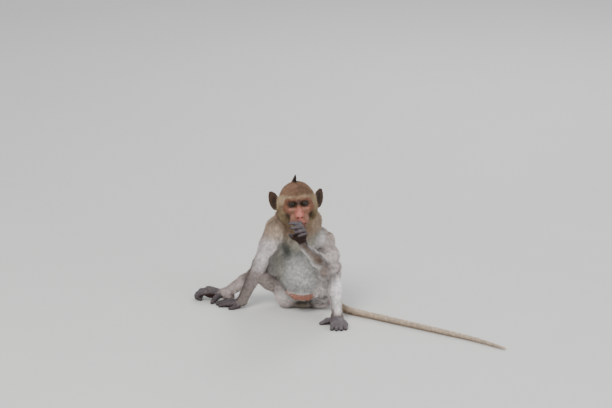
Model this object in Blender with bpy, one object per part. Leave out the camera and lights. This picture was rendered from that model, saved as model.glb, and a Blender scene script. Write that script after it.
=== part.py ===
"""A young long-tailed macaque sitting on the ground, life size, as one still figure.

The animal faces -Y, its left side is +X and it sits at the origin. Its body is drawn as rounded forms (balls
and tapering cones) that swell into each other, each form belonging to one named part. The outer surface of all
forms together is the outline of the coat, out to the tips of the hair. Every part is the share of the body that
lies nearer to its own forms than to any other part's, with a thin gap to its neighbours.
Places and sizes of forms are written in millimetres and kept in metres.
"""

import math
from collections import namedtuple

import bpy
import numpy as np
import openvdb

MM = 0.001
FAR = 0.03  # a distance at which nothing touches
CELL = 0.03  # edge of the blocks of space that are measured together
REACH = 0.018  # forms farther than this from a block have no say in it
GAP = 0.0013  # space between two parts before their faces are thinned
SOCKET_GAP = 0.0006  # clear space round an eye
LEAST_SLOPE = 0.2  # of the border between two parts, where it is measured
FLAT_BELOW = 0.0011  # height under which the underside is pressed flat on the ground
CREASE = 0.002  # how softly two limbs meet where they only touch

# Driving dimensions: the pose of the head and the places of the joints.
EYES_AT = (-8, -95, 276)
HEAD_YAW, HEAD_PITCH, HEAD_ROLL = (math.radians(d) for d in (5.0, 12.0, -3.5))
EYE_RADIUS, EYE_APART = 8.4, 28.0

HIP = {"right": (-33, 22, 48), "left": (34, 20, 50)}
KNEE = {"right": (-100, 14, 76), "left": (68, -46, 98)}
ANKLE = {"right": (-170, 45, 22), "left": (77, -96, 27)}
SHOULDER = {"right": (-57, 0, 189), "left": (50, -4, 159)}
ELBOW = {"right": (-94, 10, 100), "left": (57, -70, 115)}
WRIST = {"right": (-134, 0, 19), "left": (5, -107, 181)}

# The tail leaves the rump, lies round the left hip and runs out over the ground: x, y and its half thickness.
TAIL_ROUTE = [
    (4, 48, 16), (22, 64, 13), (52, 58, 11), (74, 30, 9.8), (82, -4, 9.3), (104, -40, 9),
    (156, -74, 8.7), (209, -108, 8.2), (262, -142, 7.8), (315, -176, 7.3), (366, -209, 6.5), (404, -238, 5.6),
    (437, -266, 4.2),
]
TAIL_ROOT_HEIGHT = 34  # of the route's first point; the rest settles on the ground
TAIL_STEPS = 3  # bars between two points of the route
TAIL_PARTS = (("tail_base", 5), ("tail_middle", 4), ("tail_tip", 3))

Form = namedtuple("Form", "node groups kind a b ra rb axes blend carve")
FORMS = []


def vector(values):
    return np.array(values, float) * MM


def unit(values):
    values = np.array(values, float)
    return values / np.linalg.norm(values)


def turn(axis, angle):
    """The matrix that turns a vector about a unit axis."""
    x, y, z = unit(axis)
    cross = np.array([[0, -z, y], [z, 0, -x], [-y, x, 0]])
    return np.eye(3) + math.sin(angle) * cross + (1 - math.cos(angle)) * cross @ cross


HEAD_TURN = turn((0, 0, 1), HEAD_YAW) @ turn((1, 0, 0), -HEAD_PITCH) @ turn((0, 1, 0), HEAD_ROLL)


def in_head(point):
    """A point of the head, from its place relative to the middle between the eyes."""
    return tuple(np.array(EYES_AT) + HEAD_TURN @ np.array(point, float))


def ball(node, groups, centre, radii, blend=8, axes=None, carve=False):
    radii = np.array(radii, float) * np.ones(3)
    axes = np.eye(3) if axes is None else np.array(axes)
    FORMS.append(Form(node, groups, "ball", vector(centre), None, radii * MM, None, axes, blend * MM, carve))


def cone(node, groups, start, end, radius, end_radius=None, blend=8, flat=None, carve=False):
    """A tapering round bar. flat is a direction and how thin the bar is along it."""
    end_radius = radius if end_radius is None else end_radius
    squash = None if flat is None else (unit(flat[0]), flat[1])
    FORMS.append(
        Form(node, groups, "cone", vector(start), vector(end), radius * MM, end_radius * MM, squash, blend * MM, carve)
    )


def chain(node, groups, points, radii, blend=4, flat=None):
    """Bars from point to point, as a finger or a fold of skin is built."""
    for start, end, radius, end_radius in zip(points, points[1:], radii, radii[1:]):
        cone(node, groups, start, end, radius, end_radius, blend, flat)


def between(start, end, share):
    return tuple(np.array(start, float) * (1 - share) + np.array(end, float) * share)


# ---------------------------------------------------------------- the forms of the body


def trunk():
    ball("abdomen", "T", (0, 24, 50), (45, 42, 46))
    ball("abdomen", "T", (-5, -18, 98), (55, 45, 54), 12)
    ball("abdomen", "T", (-1, 30, 98), (43, 34, 52), 14)
    for side in (-1, 1):
        ball("abdomen", "T", (13 * side, 8, 9), (12, 14, 10.5), 6)
    ball("abdomen", "T", (0, 2, 9), (15, 15, 10.5), 6)
    ball("abdomen", "T", (-1, -16, 52), (38, 31, 29), 12)
    ball("abdomen", "T", (-26, 0, 113), (49, 38, 38), 14)
    ball("abdomen", "T", (-62, 3, 93), (17, 22, 17), 10)
    ball("abdomen", "T", (22, -22, 80), (24, 26, 28), 12)
    chain("abdomen", "T", [(-34, -35, 50), (-14, -46, 42.5), (13, -46, 41), (33, -36, 47)], [5.5, 7, 7, 5.5], 3)
    ball("chest", "T", (-3, -2, 158), (46, 41, 46), 14)
    ball("chest", "T", (-3, 20, 160), (39, 33, 50), 14)
    cone("chest", "T", (-40, 4, 186), (30, 2, 172), 26, 25, 12)
    ball("chest", "T", (-4, -30, 180), (29, 20, 30), 12)
    ball("chest", "T", (-45, 0, 148), (14, 24, 20), 10)
    ball("chest", "T", (31, -22, 170), (18, 18, 22), 14)


def neck():
    cone("neck", "T", (-5, -10, 196), (-8, -46, 238), 40, 34, 14)
    ball("neck", "T", (-7, -8, 212), (46, 34, 26), 12)
    ball("neck", "T", (4, -6, 206), (40, 28, 32), 12)
    ball("neck", "T", (-37, -8, 222), (22, 25, 20), 12)
    cone("neck", "T", (-38, 7, 227), (-43, 7, 213), 14, 15.5, 12)
    cone("neck", "T", (-43, 7, 213), (-56, 3, 197), 15.5, 15, 12)
    ball("neck", "T", (-8, -18, 238), (33, 27, 30), 12)
    cone("neck", "T", (-8, -36, 254), (-5, -4, 204), 27, 36, 14)


def head():
    def part(centre, radii, blend=8, carve=False):
        ball("head", "T", in_head(centre), radii, blend, HEAD_TURN, carve)

    def bar(start, end, radius, end_radius, blend=8):
        cone("head", "T", in_head(start), in_head(end), radius, end_radius, blend)

    part((0, 44, 12), (36.5, 40, 35), 10)
    part((0, 22, 8), (31, 26, 24), 12)
    part((0, 26, -36), (27, 26, 22), 12)
    for side in (-1, 1):
        part((24 * side, 32, 2), (17, 28, 25), 10)
        part((30 * side, 26, -18), (14.5, 23, 23), 10)
        part((24 * side, 7, -10), (12, 11, 11), 8)
        bar((24 * side, 30, -28), (10 * side, 0, -45), 13, 10, 8)
        bar((0, -4.5, 9), (14 * side, -4, 11), 5.5, 6.8, 5)
        bar((14 * side, -4, 11), (25 * side, 3, 7), 6.8, 5.5, 6)
        bar((25 * side, 3, 7), (27 * side, 4, -6), 5.5, 5.5, 6)
        bar((27 * side, 4, -6), (18 * side, -1, -16), 5.5, 7, 6)
        part((8 * side, -2, -15), (8.5, 9, 12), 6)
    bar((0, 8, -24), (0, -8, -34), 21, 16.5, 8)
    for side in (-1, 1):
        part((10.5 * side, -6, -33), (11, 14, 11.5), 6)
    bar((0, -4.5, 6), (0, -17.5, -19), 5, 6.5, 6)
    part((0, -21, -25), (8, 6.5, 6), 4)
    part((0, -14.5, -36.5), (14.5, 9, 7.5), 4)
    part((0, -3, -48), (15, 16, 9), 4)
    part((0, -11, -50), (9, 8, 7), 4)
    bar((-2, 34, 42), (-0.5, 33, 62), 4.5, 1.3, 5)
    for side in (-1, 1):
        part((EYE_APART / 2 * side, -8.5, -0.5), (9.5, 6.5, 7), 4, carve=True)


def ear(side):
    """A thin upright leaf that stands out from the head, hollow in front, with a blunt corner behind its top."""
    name = "ear_left" if side > 0 else "ear_right"
    out = unit((0.68 * side, 0.73, 0.02))
    up = unit(np.array((0.16 * side, 0.06, 1.0)) - out * (out @ np.array((0.16 * side, 0.06, 1.0))))
    face = np.cross(up, out) * side
    axes = HEAD_TURN @ np.column_stack((out, up, face))
    middle = np.array((48.5 * side, 46, 4.5 - 1.5 * side))

    def place(along, height, depth=0.0):
        return in_head(middle + out * along + up * height + face * depth)

    flat = (axes[:, 2], 0.3)
    ball(name, "T", place(0, -1), (15, 20.5, 3.2), 5, axes)
    cone(name, "T", place(2, 7), place(7, 16), 10, 6, 3, flat)
    cone(name, "T", place(-3, -12), place(-6, -19), 8, 4, 3, flat)
    ball(name, "T", place(-1, 0, 5 if face[1] < 0 else -5), (10.5, 15, 4.6), 2, axes, carve=True)


def eye_centre(side):
    return in_head((EYE_APART / 2 * side, 0.5, 0))


def arm(side):
    group = "L" if side == "left" else "R"
    shoulder, elbow, wrist = SHOULDER[side], ELBOW[side], WRIST[side]
    upper, fore = "upper_arm_" + side, "forearm_" + side
    middle = between(shoulder, elbow, 0.45)
    cone(upper, "T" + group, shoulder, middle, 25, 21.5, 12)
    cone(upper, group, middle, elbow, 21.5, 17.5, 10)
    belly = between(elbow, wrist, 0.4)
    cone(fore, group, elbow, belly, 17, 16, 10)
    cone(fore, group, belly, wrist, 16, 10.5 if side == "left" else 12.5, 8)
    if side == "left":
        ball(upper, "T" + group, (63, -34, 137), 22, 12)
        ball(upper, group, (71, -54, 118), 18.5, 10)
        ball(upper, "T" + group, (48, -38, 134), (17, 18, 20), 14)
        ball(upper, group, (50, -57, 143), (15, 15, 15), 14)
        ball(fore, group, (48, -77, 105), 12.5, 10)


def hand_left():
    """The hand is held to the lips, its palm to the front, the fingers bent across the mouth."""
    palm_normal = (0.2, -0.89, -0.4)
    name, group = "hand_left", "L"
    cone(name, group, (4, -107, 183), (-4, -117, 212), 8.5, 12.5, 6, (palm_normal, 0.6))
    knuckle = [(-11, -121, 223), (-5, -123, 224), (1, -123, 221), (6, -121, 216)]
    bend = [(-4, -132, 243), (-1, -136, 237), (4, -136, 229), (8, -132, 221)]
    tip = [(-26, -131, 243), (-22, -137, 234), (-14, -140, 225), (-6, -139, 217)]
    for root, joint, end in zip(knuckle, bend, tip):
        half = between(joint, end, 0.55)
        half = (half[0], half[1] - 2, half[2] + 1)
        chain(name, group, [(root[0] * 0.8, root[1] + 4, root[2] - 9), root, joint, half, end], [6, 5, 4.4, 4, 3.3], 2.5)
    chain(name, group, [(-5, -111, 197), (-17, -120, 207), (-26, -127, 215)], [6, 5, 3.4], 3)


def hand_right():
    """The hand lies flat beside the body and bears weight, its fingers spread outwards."""
    name, group = "hand_right", "R"
    cone(name, group, (-135, -1, 13), (-161, 9, 8), 11, 13, 6, ((0, 0, 1), 0.68))
    for k in range(4):
        spread = math.radians(176 - 11 * k)
        root = (-159, 6 * k, 8)
        way = np.array((math.cos(spread), math.sin(spread)))
        length = (15, 19, 18, 14)[k]
        joint = (root[0] + way[0] * length, root[1] + way[1] * length, 7.5)
        end = (root[0] + way[0] * length * 1.75, root[1] + way[1] * length * 1.75, 3.0)
        chain(name, group, [root, joint, end], [6, 4.6, 3.6], 2.5)
    chain(name, group, [(-142, -7, 7), (-153, -13, 5), (-162, -15, 3)], [6, 4.6, 3.4], 3)


def leg(side):
    group = "P" if side == "left" else "Q"
    hip, knee, ankle = HIP[side], KNEE[side], ANKLE[side]
    thigh, shank = "thigh_" + side, "shank_" + side
    middle = between(hip, knee, 0.5)
    cone(thigh, "T" + group, hip, middle, 35, 27, 8)
    cone(thigh, group, middle, knee, 27, 19.5, 8)
    if side == "left":
        ball(thigh, "T" + group, (38, 2, 34.5), (33, 34, 36), 10)
        ball(thigh, "T" + group, (47, -33, 52), (18, 17, 26), 16)
    else:
        ball(thigh, "T" + group, (-33, 8, 34.5), (28, 34, 36), 10)
    calf = between(knee, ankle, 0.4)
    calf = (calf[0], calf[1] + 4, calf[2] - 3)
    cone(shank, group, knee, calf, 18.5, 17.5, 8)
    cone(shank, group, calf, ankle, 17.5, 12.5 if side == "left" else 11.5, 8)


def foot_left():
    name, group = "foot_left", "P"
    cone(name, group, (76, -86, 11), (78, -104, 15), 12, 13, 6)
    cone(name, group, (78, -104, 15), (80, -125, 9.5), 13, 17, 6, ((0, 0.2, 1), 0.66))
    for k in range(4):
        x, reach = 68.5 + 8.3 * k, (0, 3, 2, -2)[k]
        points = [(x, -122, 9), (x + 1 + 1.2 * (k - 1.5), -136 - reach, 10), (x + 2 * (k - 1.5), -146 - reach, 3.4)]
        chain(name, group, points, [6.5, 5.2, 4.2], 2.5)
    chain(name, group, [(72, -106, 11), (56, -109, 9), (43, -111, 3.8)], [8, 6.2, 4.6], 4)


def foot_right():
    """The foot lies turned outwards, arched, with the toes curled down to the ground."""
    name, group = "foot_right", "Q"
    cone(name, group, (-163, 42, 11), (-178, 46, 17), 12, 11.5, 6)
    cone(name, group, (-178, 46, 17), (-208, 52, 21.5), 11.5, 14.5, 6, ((0.35, -0.25, 1), 0.58))
    for k in range(4):
        y = 42 + 7.2 * k
        points = [(-209, y, 20.5), (-229, y + 2, 17), (-239.5 + abs(k - 1), y + 3, 9.5), (-231 + abs(k - 1), y + 3, 3.6)]
        chain(name, group, points, [6.2, 5.2, 4.6, 3.9], 2.5)
    ball(name, group, (-205, 51, 13), (15, 13, 7.5), 5)
    chain(name, group, [(-184, 40, 17), (-196, 29, 11), (-203, 24, 3.8)], [7.5, 6, 4.4], 4)


def tail():
    """Bars along a smooth curve through the route, lying on the ground past the rump."""
    nodes = [name for name, spans in TAIL_PARTS for _ in range(spans * TAIL_STEPS)]
    route = np.array(TAIL_ROUTE, float)
    padded = np.vstack([2 * route[0] - route[1], route, 2 * route[-1] - route[-2]])
    spots = []
    for k in range(len(nodes) + 1):
        span = min(k // TAIL_STEPS, len(route) - 2)
        t = k / TAIL_STEPS - span
        before, start, end, after = padded[span : span + 4]
        bend = (2 * before - 5 * start + 4 * end - after) * t**2 + (3 * start - before - 3 * end + after) * t**3
        x, y, radius = start + 0.5 * ((end - before) * t + bend)
        lift = max(0.0, 1 - k / (2 * TAIL_STEPS)) ** 1.5
        spots.append((x, y, (radius - 0.7) * (1 - lift) + TAIL_ROOT_HEIGHT * lift, radius))
    for node, (*start, radius), (*end, end_radius) in zip(nodes, spots, spots[1:]):
        cone(node, "T", start, end, radius, end_radius, 1.5)


# ---------------------------------------------------------------- measuring the forms


def distance(form, points, trim=0.0):
    """How far points lie outside a form, in metres. trim shortens a bar at both ends, to tell parts apart."""
    if form.kind == "ball":
        local = (points - form.a) @ form.axes
        length = np.linalg.norm(local / form.ra, axis=1)
        slope = np.linalg.norm(local / form.ra**2, axis=1)
        return length * (length - 1) / np.maximum(slope, 1e-9)
    offset, line = points - form.a, form.b - form.a
    if form.axes is not None:
        normal, thin = form.axes
        offset = offset + np.outer(offset @ normal * (1 / thin - 1), normal)
        line = line + (line @ normal) * (1 / thin - 1) * normal
    along = np.clip(offset @ line / (line @ line), trim, 1 - trim)
    away = np.linalg.norm(offset - along[:, None] * line, axis=1)
    return away - (form.ra + along * (form.rb - form.ra))


def smooth_union(first, second, width):
    share = np.maximum(width - np.abs(first - second), 0) / width
    return np.minimum(first, second) - share**2 * width / 4


def reach_of(form):
    """The centre and radius of a sphere that holds the form."""
    if form.kind == "ball":
        return form.a, form.ra.max()
    return (form.a + form.b) / 2, np.linalg.norm(form.b - form.a) / 2 + max(form.ra, form.rb)


def blocks(points):
    """Groups of points that lie in the same block of space, with the forms near each block."""
    key = np.floor(points / CELL).astype(np.int64) @ np.array([1, 1 << 20, 1 << 40])
    order = np.argsort(key, kind="stable")
    for rows in np.split(order, np.flatnonzero(np.diff(key[order])) + 1):
        low, high = points[rows].min(0), points[rows].max(0)
        near = []
        for form in FORMS:
            centre, radius = reach_of(form)
            if np.linalg.norm(np.maximum(np.maximum(low - centre, centre - high), 0)) < radius + REACH:
                near.append(form)
        yield rows, near


def outline(points, near):
    """The outside of the coat: smooth inside a limb and the trunk, creased where limbs only touch."""
    value = np.full(len(points), FAR)
    for group in "TLRPQ":
        limb = np.full(len(points), FAR)
        for form in near:
            if group not in form.groups:
                continue
            if form.carve:
                limb = -smooth_union(-limb, distance(form, points), form.blend)
            else:
                limb = smooth_union(limb, distance(form, points), form.blend)
        value = smooth_union(value, limb, CREASE)
    return value


def lead_of_others(points, near, node):
    """How much nearer a point is to the forms of other parts than to this part's: below zero inside its share."""
    own, other = np.full(len(points), FAR), np.full(len(points), FAR)
    for form in near:
        if form.carve:
            continue
        apart = distance(form, points, 0.1)
        if form.node == node:
            own = np.minimum(own, apart)
        else:
            other = np.minimum(other, apart)
    return own - other


def part_field(points, count, step, node):
    """How far each point of a grid lies outside the part: past the coat, its neighbours, the ground or an eye."""
    coat, lead = np.full(len(points), FAR), np.full(len(points), FAR)
    for rows, near in blocks(points):
        if any(form.node == node for form in near):
            coat[rows] = outline(points[rows], near)
            lead[rows] = lead_of_others(points[rows], near, node)
    slope = np.linalg.norm(np.gradient(lead.reshape(count), step), axis=0).reshape(-1)
    value = np.maximum(coat, lead / np.maximum(slope, LEAST_SLOPE) + GAP / 2)
    value = np.maximum(value, -points[:, 2])
    if node == "head":
        for side in (-1, 1):
            apart = np.linalg.norm(points - vector(eye_centre(side)), axis=1)
            value = np.maximum(value, EYE_RADIUS * MM + SOCKET_GAP - apart)
    return value.reshape(count)


# ---------------------------------------------------------------- making the parts


def grid_surface(node, step):
    """The closed surface of one part, from its field on a grid."""
    own = [reach_of(form) for form in FORMS if form.node == node and not form.carve]
    low = np.min([centre - radius for centre, radius in own], axis=0) - 3 * step
    high = np.max([centre + radius for centre, radius in own], axis=0) + 3 * step
    low[2] = max(low[2], -3 * step)
    low = np.floor(low / step) * step
    count = np.ceil((high - low) / step).astype(int) + 1
    axes = [low[k] + step * np.arange(count[k]) for k in range(3)]
    points = np.stack(np.meshgrid(*axes, indexing="ij"), axis=-1).reshape(-1, 3)
    values = part_field(points, count, step, node)
    grid = openvdb.FloatGrid(FAR)
    grid.copyFromArray(np.ascontiguousarray(values, dtype=np.float32))
    corners, quads = grid.convertToQuads(0.0)
    return corners * step + low, quads


def signed_volume(corners, faces):
    a, b, c = (corners[faces[:, k]] for k in range(3))
    return float(np.einsum("ij,ij->i", a, np.cross(b, c)).sum())


def main_piece(corners, faces):
    """The surface without the crumbs that a curved border can leave beside a part."""
    label = np.arange(len(corners))
    while True:
        lowest = label.copy()
        reach = label[faces].min(axis=1)
        for k in range(faces.shape[1]):
            np.minimum.at(lowest, faces[:, k], reach)
        lowest = lowest[lowest]
        if (lowest == label).all():
            break
        label = lowest
    biggest = np.bincount(label[faces[:, 0]]).argmax()
    kept = faces[label[faces[:, 0]] == biggest]
    used, faces = np.unique(kept, return_inverse=True)
    return corners[used], faces.reshape(kept.shape)


def material(name, color, roughness):
    made = bpy.data.materials.new(name)
    made.use_nodes = True
    shader = made.node_tree.nodes["Principled BSDF"]
    shader.inputs["Base Color"].default_value = (*color, 1)
    shader.inputs["Roughness"].default_value = roughness
    shader.inputs["Metallic"].default_value = 0.0
    return made


def thinned(thing, triangles):
    """The same surface with fewer faces, its underside kept exactly on the ground."""
    faces = 2 * len(thing.data.polygons)
    if faces > triangles:
        thin = thing.modifiers.new("Fewer faces", "DECIMATE")
        thin.ratio = triangles / faces
        view = bpy.context.evaluated_depsgraph_get()
        mesh = bpy.data.meshes.new_from_object(thing.evaluated_get(view))
        thing.modifiers.clear()
        thing.data = mesh
    for corner in thing.data.vertices:
        if corner.co.z < FLAT_BELOW:
            corner.co.z = 0.0


def make_part(node, step, triangles, finish):
    corners, quads = main_piece(*grid_surface(node, step))
    if signed_volume(corners, quads[:, [0, 1, 2]]) < 0:
        quads = quads[:, ::-1]
    mesh = bpy.data.meshes.new(node)
    mesh.from_pydata(corners.tolist(), [], quads.tolist())
    thing = bpy.data.objects.new(node, mesh)
    bpy.context.scene.collection.objects.link(thing)
    thinned(thing, triangles)
    thing.data.materials.append(finish)
    thing.data.shade_smooth()


def make_eye(side, finish):
    name = "eye_left" if side > 0 else "eye_right"
    bpy.ops.mesh.primitive_ico_sphere_add(
        subdivisions=3, radius=EYE_RADIUS * MM, location=vector(eye_centre(side))
    )
    eye = bpy.context.object
    eye.name = eye.data.name = name
    eye.data.materials.append(finish)
    eye.data.shade_smooth()


def main():
    for thing in list(bpy.data.objects):
        bpy.data.objects.remove(thing, do_unlink=True)

    trunk()
    neck()
    head()
    for side in (-1, 1):
        ear(side)
    for side in ("right", "left"):
        arm(side)
        leg(side)
    hand_right()
    hand_left()
    foot_right()
    foot_left()
    tail()

    coat = material("coat", (0.33, 0.27, 0.20), 0.9)
    dark_skin = material("dark_skin", (0.08, 0.06, 0.065), 0.6)
    eye_brown = material("eye_brown", (0.10, 0.07, 0.04), 0.15)

    make_part("abdomen", 0.0022, 740, coat)
    make_part("chest", 0.0022, 540, coat)
    make_part("neck", 0.002, 320, coat)
    make_part("head", 0.0012, 1400, coat)
    for side in ("right", "left"):
        make_part("ear_" + side, 0.0008, 240, dark_skin)
        make_part("upper_arm_" + side, 0.002, 300, coat)
        make_part("forearm_" + side, 0.0016, 320, coat)
        make_part("hand_" + side, 0.001, 620, dark_skin)
        make_part("thigh_" + side, 0.002, 360, coat)
        make_part("shank_" + side, 0.0018, 300, coat)
        make_part("foot_" + side, 0.001, 600, dark_skin)
    for node, triangles in (("tail_base", 300), ("tail_middle", 200), ("tail_tip", 200)):
        make_part(node, 0.0013, triangles, coat)
    for side in (-1, 1):
        make_eye(side, eye_brown)


main()
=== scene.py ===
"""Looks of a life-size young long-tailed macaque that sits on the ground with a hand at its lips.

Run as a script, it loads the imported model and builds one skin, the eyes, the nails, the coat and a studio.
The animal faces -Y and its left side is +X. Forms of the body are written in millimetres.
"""

import functools
import math
from collections import namedtuple

import bmesh
import bpy
import numpy as np
import openvdb
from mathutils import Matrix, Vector


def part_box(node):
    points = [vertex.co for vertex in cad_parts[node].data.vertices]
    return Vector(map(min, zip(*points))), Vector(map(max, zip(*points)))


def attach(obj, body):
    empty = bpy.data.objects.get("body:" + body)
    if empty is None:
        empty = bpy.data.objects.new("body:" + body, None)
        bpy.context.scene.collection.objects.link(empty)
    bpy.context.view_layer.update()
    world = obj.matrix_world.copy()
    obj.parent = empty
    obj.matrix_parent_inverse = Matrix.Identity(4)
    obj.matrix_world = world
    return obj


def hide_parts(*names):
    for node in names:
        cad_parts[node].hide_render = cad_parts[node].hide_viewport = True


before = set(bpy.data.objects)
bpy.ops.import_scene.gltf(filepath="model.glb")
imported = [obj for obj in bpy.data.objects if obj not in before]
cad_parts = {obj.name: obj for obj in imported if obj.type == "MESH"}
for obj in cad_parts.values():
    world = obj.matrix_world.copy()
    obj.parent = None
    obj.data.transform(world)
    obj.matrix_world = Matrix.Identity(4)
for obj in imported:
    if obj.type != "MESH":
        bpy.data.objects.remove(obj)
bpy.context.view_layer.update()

bl_info = {
    "name": "Seated young macaque",
    "version": (1, 0, 0),
    "blender": (4, 5, 0),
    "location": "3D View > Sidebar > Macaque",
    "description": "Builds the skin, eyes, nails and coat of a life-size seated young macaque",
    "category": "Object",
}

MM = 0.001
FAR = 0.03  # a distance at which nothing touches
CELL = 0.024  # edge of the blocks of space that are measured together
REACH = 0.016  # forms farther than this from a block have no say in it
CREASE = 0.002  # how softly two limbs meet where they only touch
MINGLE = 0.0042  # how gradually coat and colour change from one form to the next

# The pose, as the solids have it.
EYES_AT = (-8, -95, 276)
HEAD_YAW, HEAD_PITCH, HEAD_ROLL = (math.radians(d) for d in (5.0, 12.0, -3.5))
EYE_RADIUS, EYE_APART = 8.4, 28.0
GAZE_AT = np.array((0.004, -5.7, 1.85))  # what the eyes look at, in metres
HIP = {"right": (-33, 22, 48), "left": (34, 20, 50)}
KNEE = {"right": (-100, 14, 76), "left": (68, -46, 98)}
ANKLE = {"right": (-170, 45, 22), "left": (77, -96, 27)}
SHOULDER = {"right": (-57, 0, 189), "left": (50, -4, 159)}
ELBOW = {"right": (-94, 10, 100), "left": (57, -70, 115)}
WRIST = {"right": (-134, 0, 19), "left": (5, -107, 181)}

# The tail leaves the rump, lies round the left hip and runs over the ground: x, y and half its thickness.
TAIL_ROUTE = [
    (4, 48, 16), (22, 64, 13), (52, 58, 11), (74, 30, 9.8), (82, -4, 9.3), (104, -40, 9),
    (156, -74, 8.7), (209, -108, 8.2), (262, -142, 7.8), (315, -176, 7.3), (366, -209, 6.5),
    (404, -238, 5.6), (437, -266, 4.2),
]
TAIL_ROOT_HEIGHT = 34  # of the route's first point; the rest settles on the ground
TAIL_STEPS = 3  # bars between two points of the route
TAIL_PARTS = (("tail_base", 5), ("tail_middle", 4), ("tail_tip", 3))

# What grows on each kind of form: how deep the coat is in millimetres, and which way it lies.
# None stands for the rule of the head, ALONG for the way from the start of a bar to its end.
ALONG = "along"
FURS = {
    "belly": (4.6, (0, 0.1, -1)),
    "chest": (5.4, (0, 0.1, -1)),
    "back": (6.0, (0, 0.4, -1)),
    "seat": (0.6, (0, 0, -1)),
    "fold": (0.0, (0, 0, -1)),
    "neck": (6.0, (0, 0.5, -1)),
    "ruff": (5.6, (0, 0.3, -1)),
    "cap": (3.4, None),
    "temple": (4.0, None),
    "cheek": (4.6, None),
    "spike": (1.6, (0.15, 0.1, 1)),
    "face": (0.0, None),
    "brow": (0.8, None),
    "ear": (0.0, None),
    "arm": (5.2, ALONG),
    "forearm": (4.6, ALONG),
    "wrist": (2.2, ALONG),
    "thigh": (5.4, ALONG),
    "shank": (4.2, ALONG),
    "ankle": (2.2, ALONG),
    "hand": (0.0, ALONG),
    "foot": (0.0, ALONG),
    "digit": (0.0, ALONG),
    "tail": (2.4, ALONG),
}
KINDS = list(FURS)

Form = namedtuple("Form", "node groups kind a b ra rb axes blend carve fur lie")
FORMS = []
NAILS = []  # (joint, tip, radius) of every finger and toe


def vector(values):
    """A place given in millimetres, in metres."""
    return np.array(values, float) * MM


def unit(values):
    values = np.array(values, float)
    return values / np.linalg.norm(values)


def turn(axis, angle):
    """The matrix that turns a vector about a unit axis."""
    x, y, z = unit(axis)
    cross = np.array([[0, -z, y], [z, 0, -x], [-y, x, 0]])
    return np.eye(3) + math.sin(angle) * cross + (1 - math.cos(angle)) * cross @ cross


HEAD_TURN = turn((0, 0, 1), HEAD_YAW) @ turn((1, 0, 0), -HEAD_PITCH) @ turn((0, 1, 0), HEAD_ROLL)


def in_head(point):
    """A point of the head, from its place relative to the middle between the eyes."""
    return tuple(np.array(EYES_AT) + HEAD_TURN @ np.array(point, float))


def ball(node, groups, centre, radii, blend=8, axes=None, carve=False, fur="back", lie=None):
    """A ball or, with three radii, an ellipsoid turned by axes. lie is the way that a limb's fur lies."""
    radii = np.array(radii, float) * np.ones(3)
    axes = np.eye(3) if axes is None else np.array(axes)
    lie = FURS[fur][1] if lie is None else lie
    lie = None if lie is None or lie is ALONG else unit(lie)
    FORMS.append(
        Form(node, groups, "ball", vector(centre), None, radii * MM, None, axes, blend * MM, carve, fur, lie)
    )


def heap(node, forms):
    """Balls of the trunk, each given by its centre, radii, blend and fur."""
    for centre, radii, blend, fur in forms:
        ball(node, "T", centre, radii, blend, fur=fur)


def cone(node, groups, start, end, radius, end_radius, blend=8, flat=None, carve=False, fur="back"):
    """A tapering round bar. flat is a direction and how thin the bar is along it."""
    squash = None if flat is None else (unit(flat[0]), flat[1])
    lie = FURS[fur][1]
    if lie is ALONG:
        lie = unit(np.array(end, float) - np.array(start, float))
    elif lie is not None:
        lie = unit(lie)
    start, end, radius, end_radius = vector(start), vector(end), radius * MM, end_radius * MM
    FORMS.append(
        Form(node, groups, "cone", start, end, radius, end_radius, squash, blend * MM, carve, fur, lie)
    )


def chain(node, groups, points, radii, blend=4, flat=None, fur="back", carve=False):
    """Bars from point to point, as a finger or a fold of skin is built."""
    for start, end, radius, end_radius in zip(points, points[1:], radii, radii[1:]):
        cone(node, groups, start, end, radius, end_radius, blend, flat, carve, fur)


def between(start, end, share):
    return tuple(np.array(start, float) * (1 - share) + np.array(end, float) * share)


# ---------------------------------------------------------------- the forms of the body


def trunk():
    """The rump with its flat seat, the belly with the fold of skin below it, and the chest."""
    heap("abdomen", [
        ((0, 24, 50), (45, 42, 46), 8, "back"),
        ((-5, -18, 98), (55, 45, 54), 12, "belly"),
        ((-1, 30, 98), (43, 34, 52), 14, "back"),
        ((-13, 8, 9), (12, 14, 10.5), 6, "seat"),
        ((13, 8, 9), (12, 14, 10.5), 6, "seat"),
        ((0, 2, 9), (15, 15, 10.5), 6, "seat"),
        ((-1, -16, 52), (38, 31, 29), 12, "belly"),
        ((-26, 0, 113), (49, 38, 38), 14, "belly"),
        ((-62, 3, 93), (17, 22, 17), 10, "belly"),
        ((22, -22, 80), (24, 26, 28), 12, "belly"),
    ])
    fold = [(-34, -35, 50), (-14, -46, 42.5), (13, -46, 41), (33, -36, 47)]
    chain("abdomen", "T", fold, [5.5, 7, 7, 5.5], 3, fur="fold")
    edge = [(-33, -38, 54), (-15, -51, 46), (0, -53, 44.5), (14, -51, 45), (32, -39, 51)]
    chain("abdomen", "T", edge, [1.2, 1.8, 2.0, 1.8, 1.2], 1.6, fur="fold")
    heap("abdomen", [(centre, (3.0, 1.8, 3.4), 1.5, "fold") for centre in ((-4, -52, 38), (3, -52, 38))])
    heap("chest", [((-3, -2, 158), (46, 41, 46), 14, "chest"), ((-3, 20, 160), (39, 33, 50), 14, "back")])
    cone("chest", "T", (-40, 4, 186), (30, 2, 172), 26, 25, 12, fur="chest")
    heap("chest", [
        ((-4, -30, 180), (29, 20, 30), 12, "chest"),
        ((-45, 0, 148), (14, 24, 20), 10, "chest"),
        ((31, -22, 170), (18, 18, 22), 14, "chest"),
    ])


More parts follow.
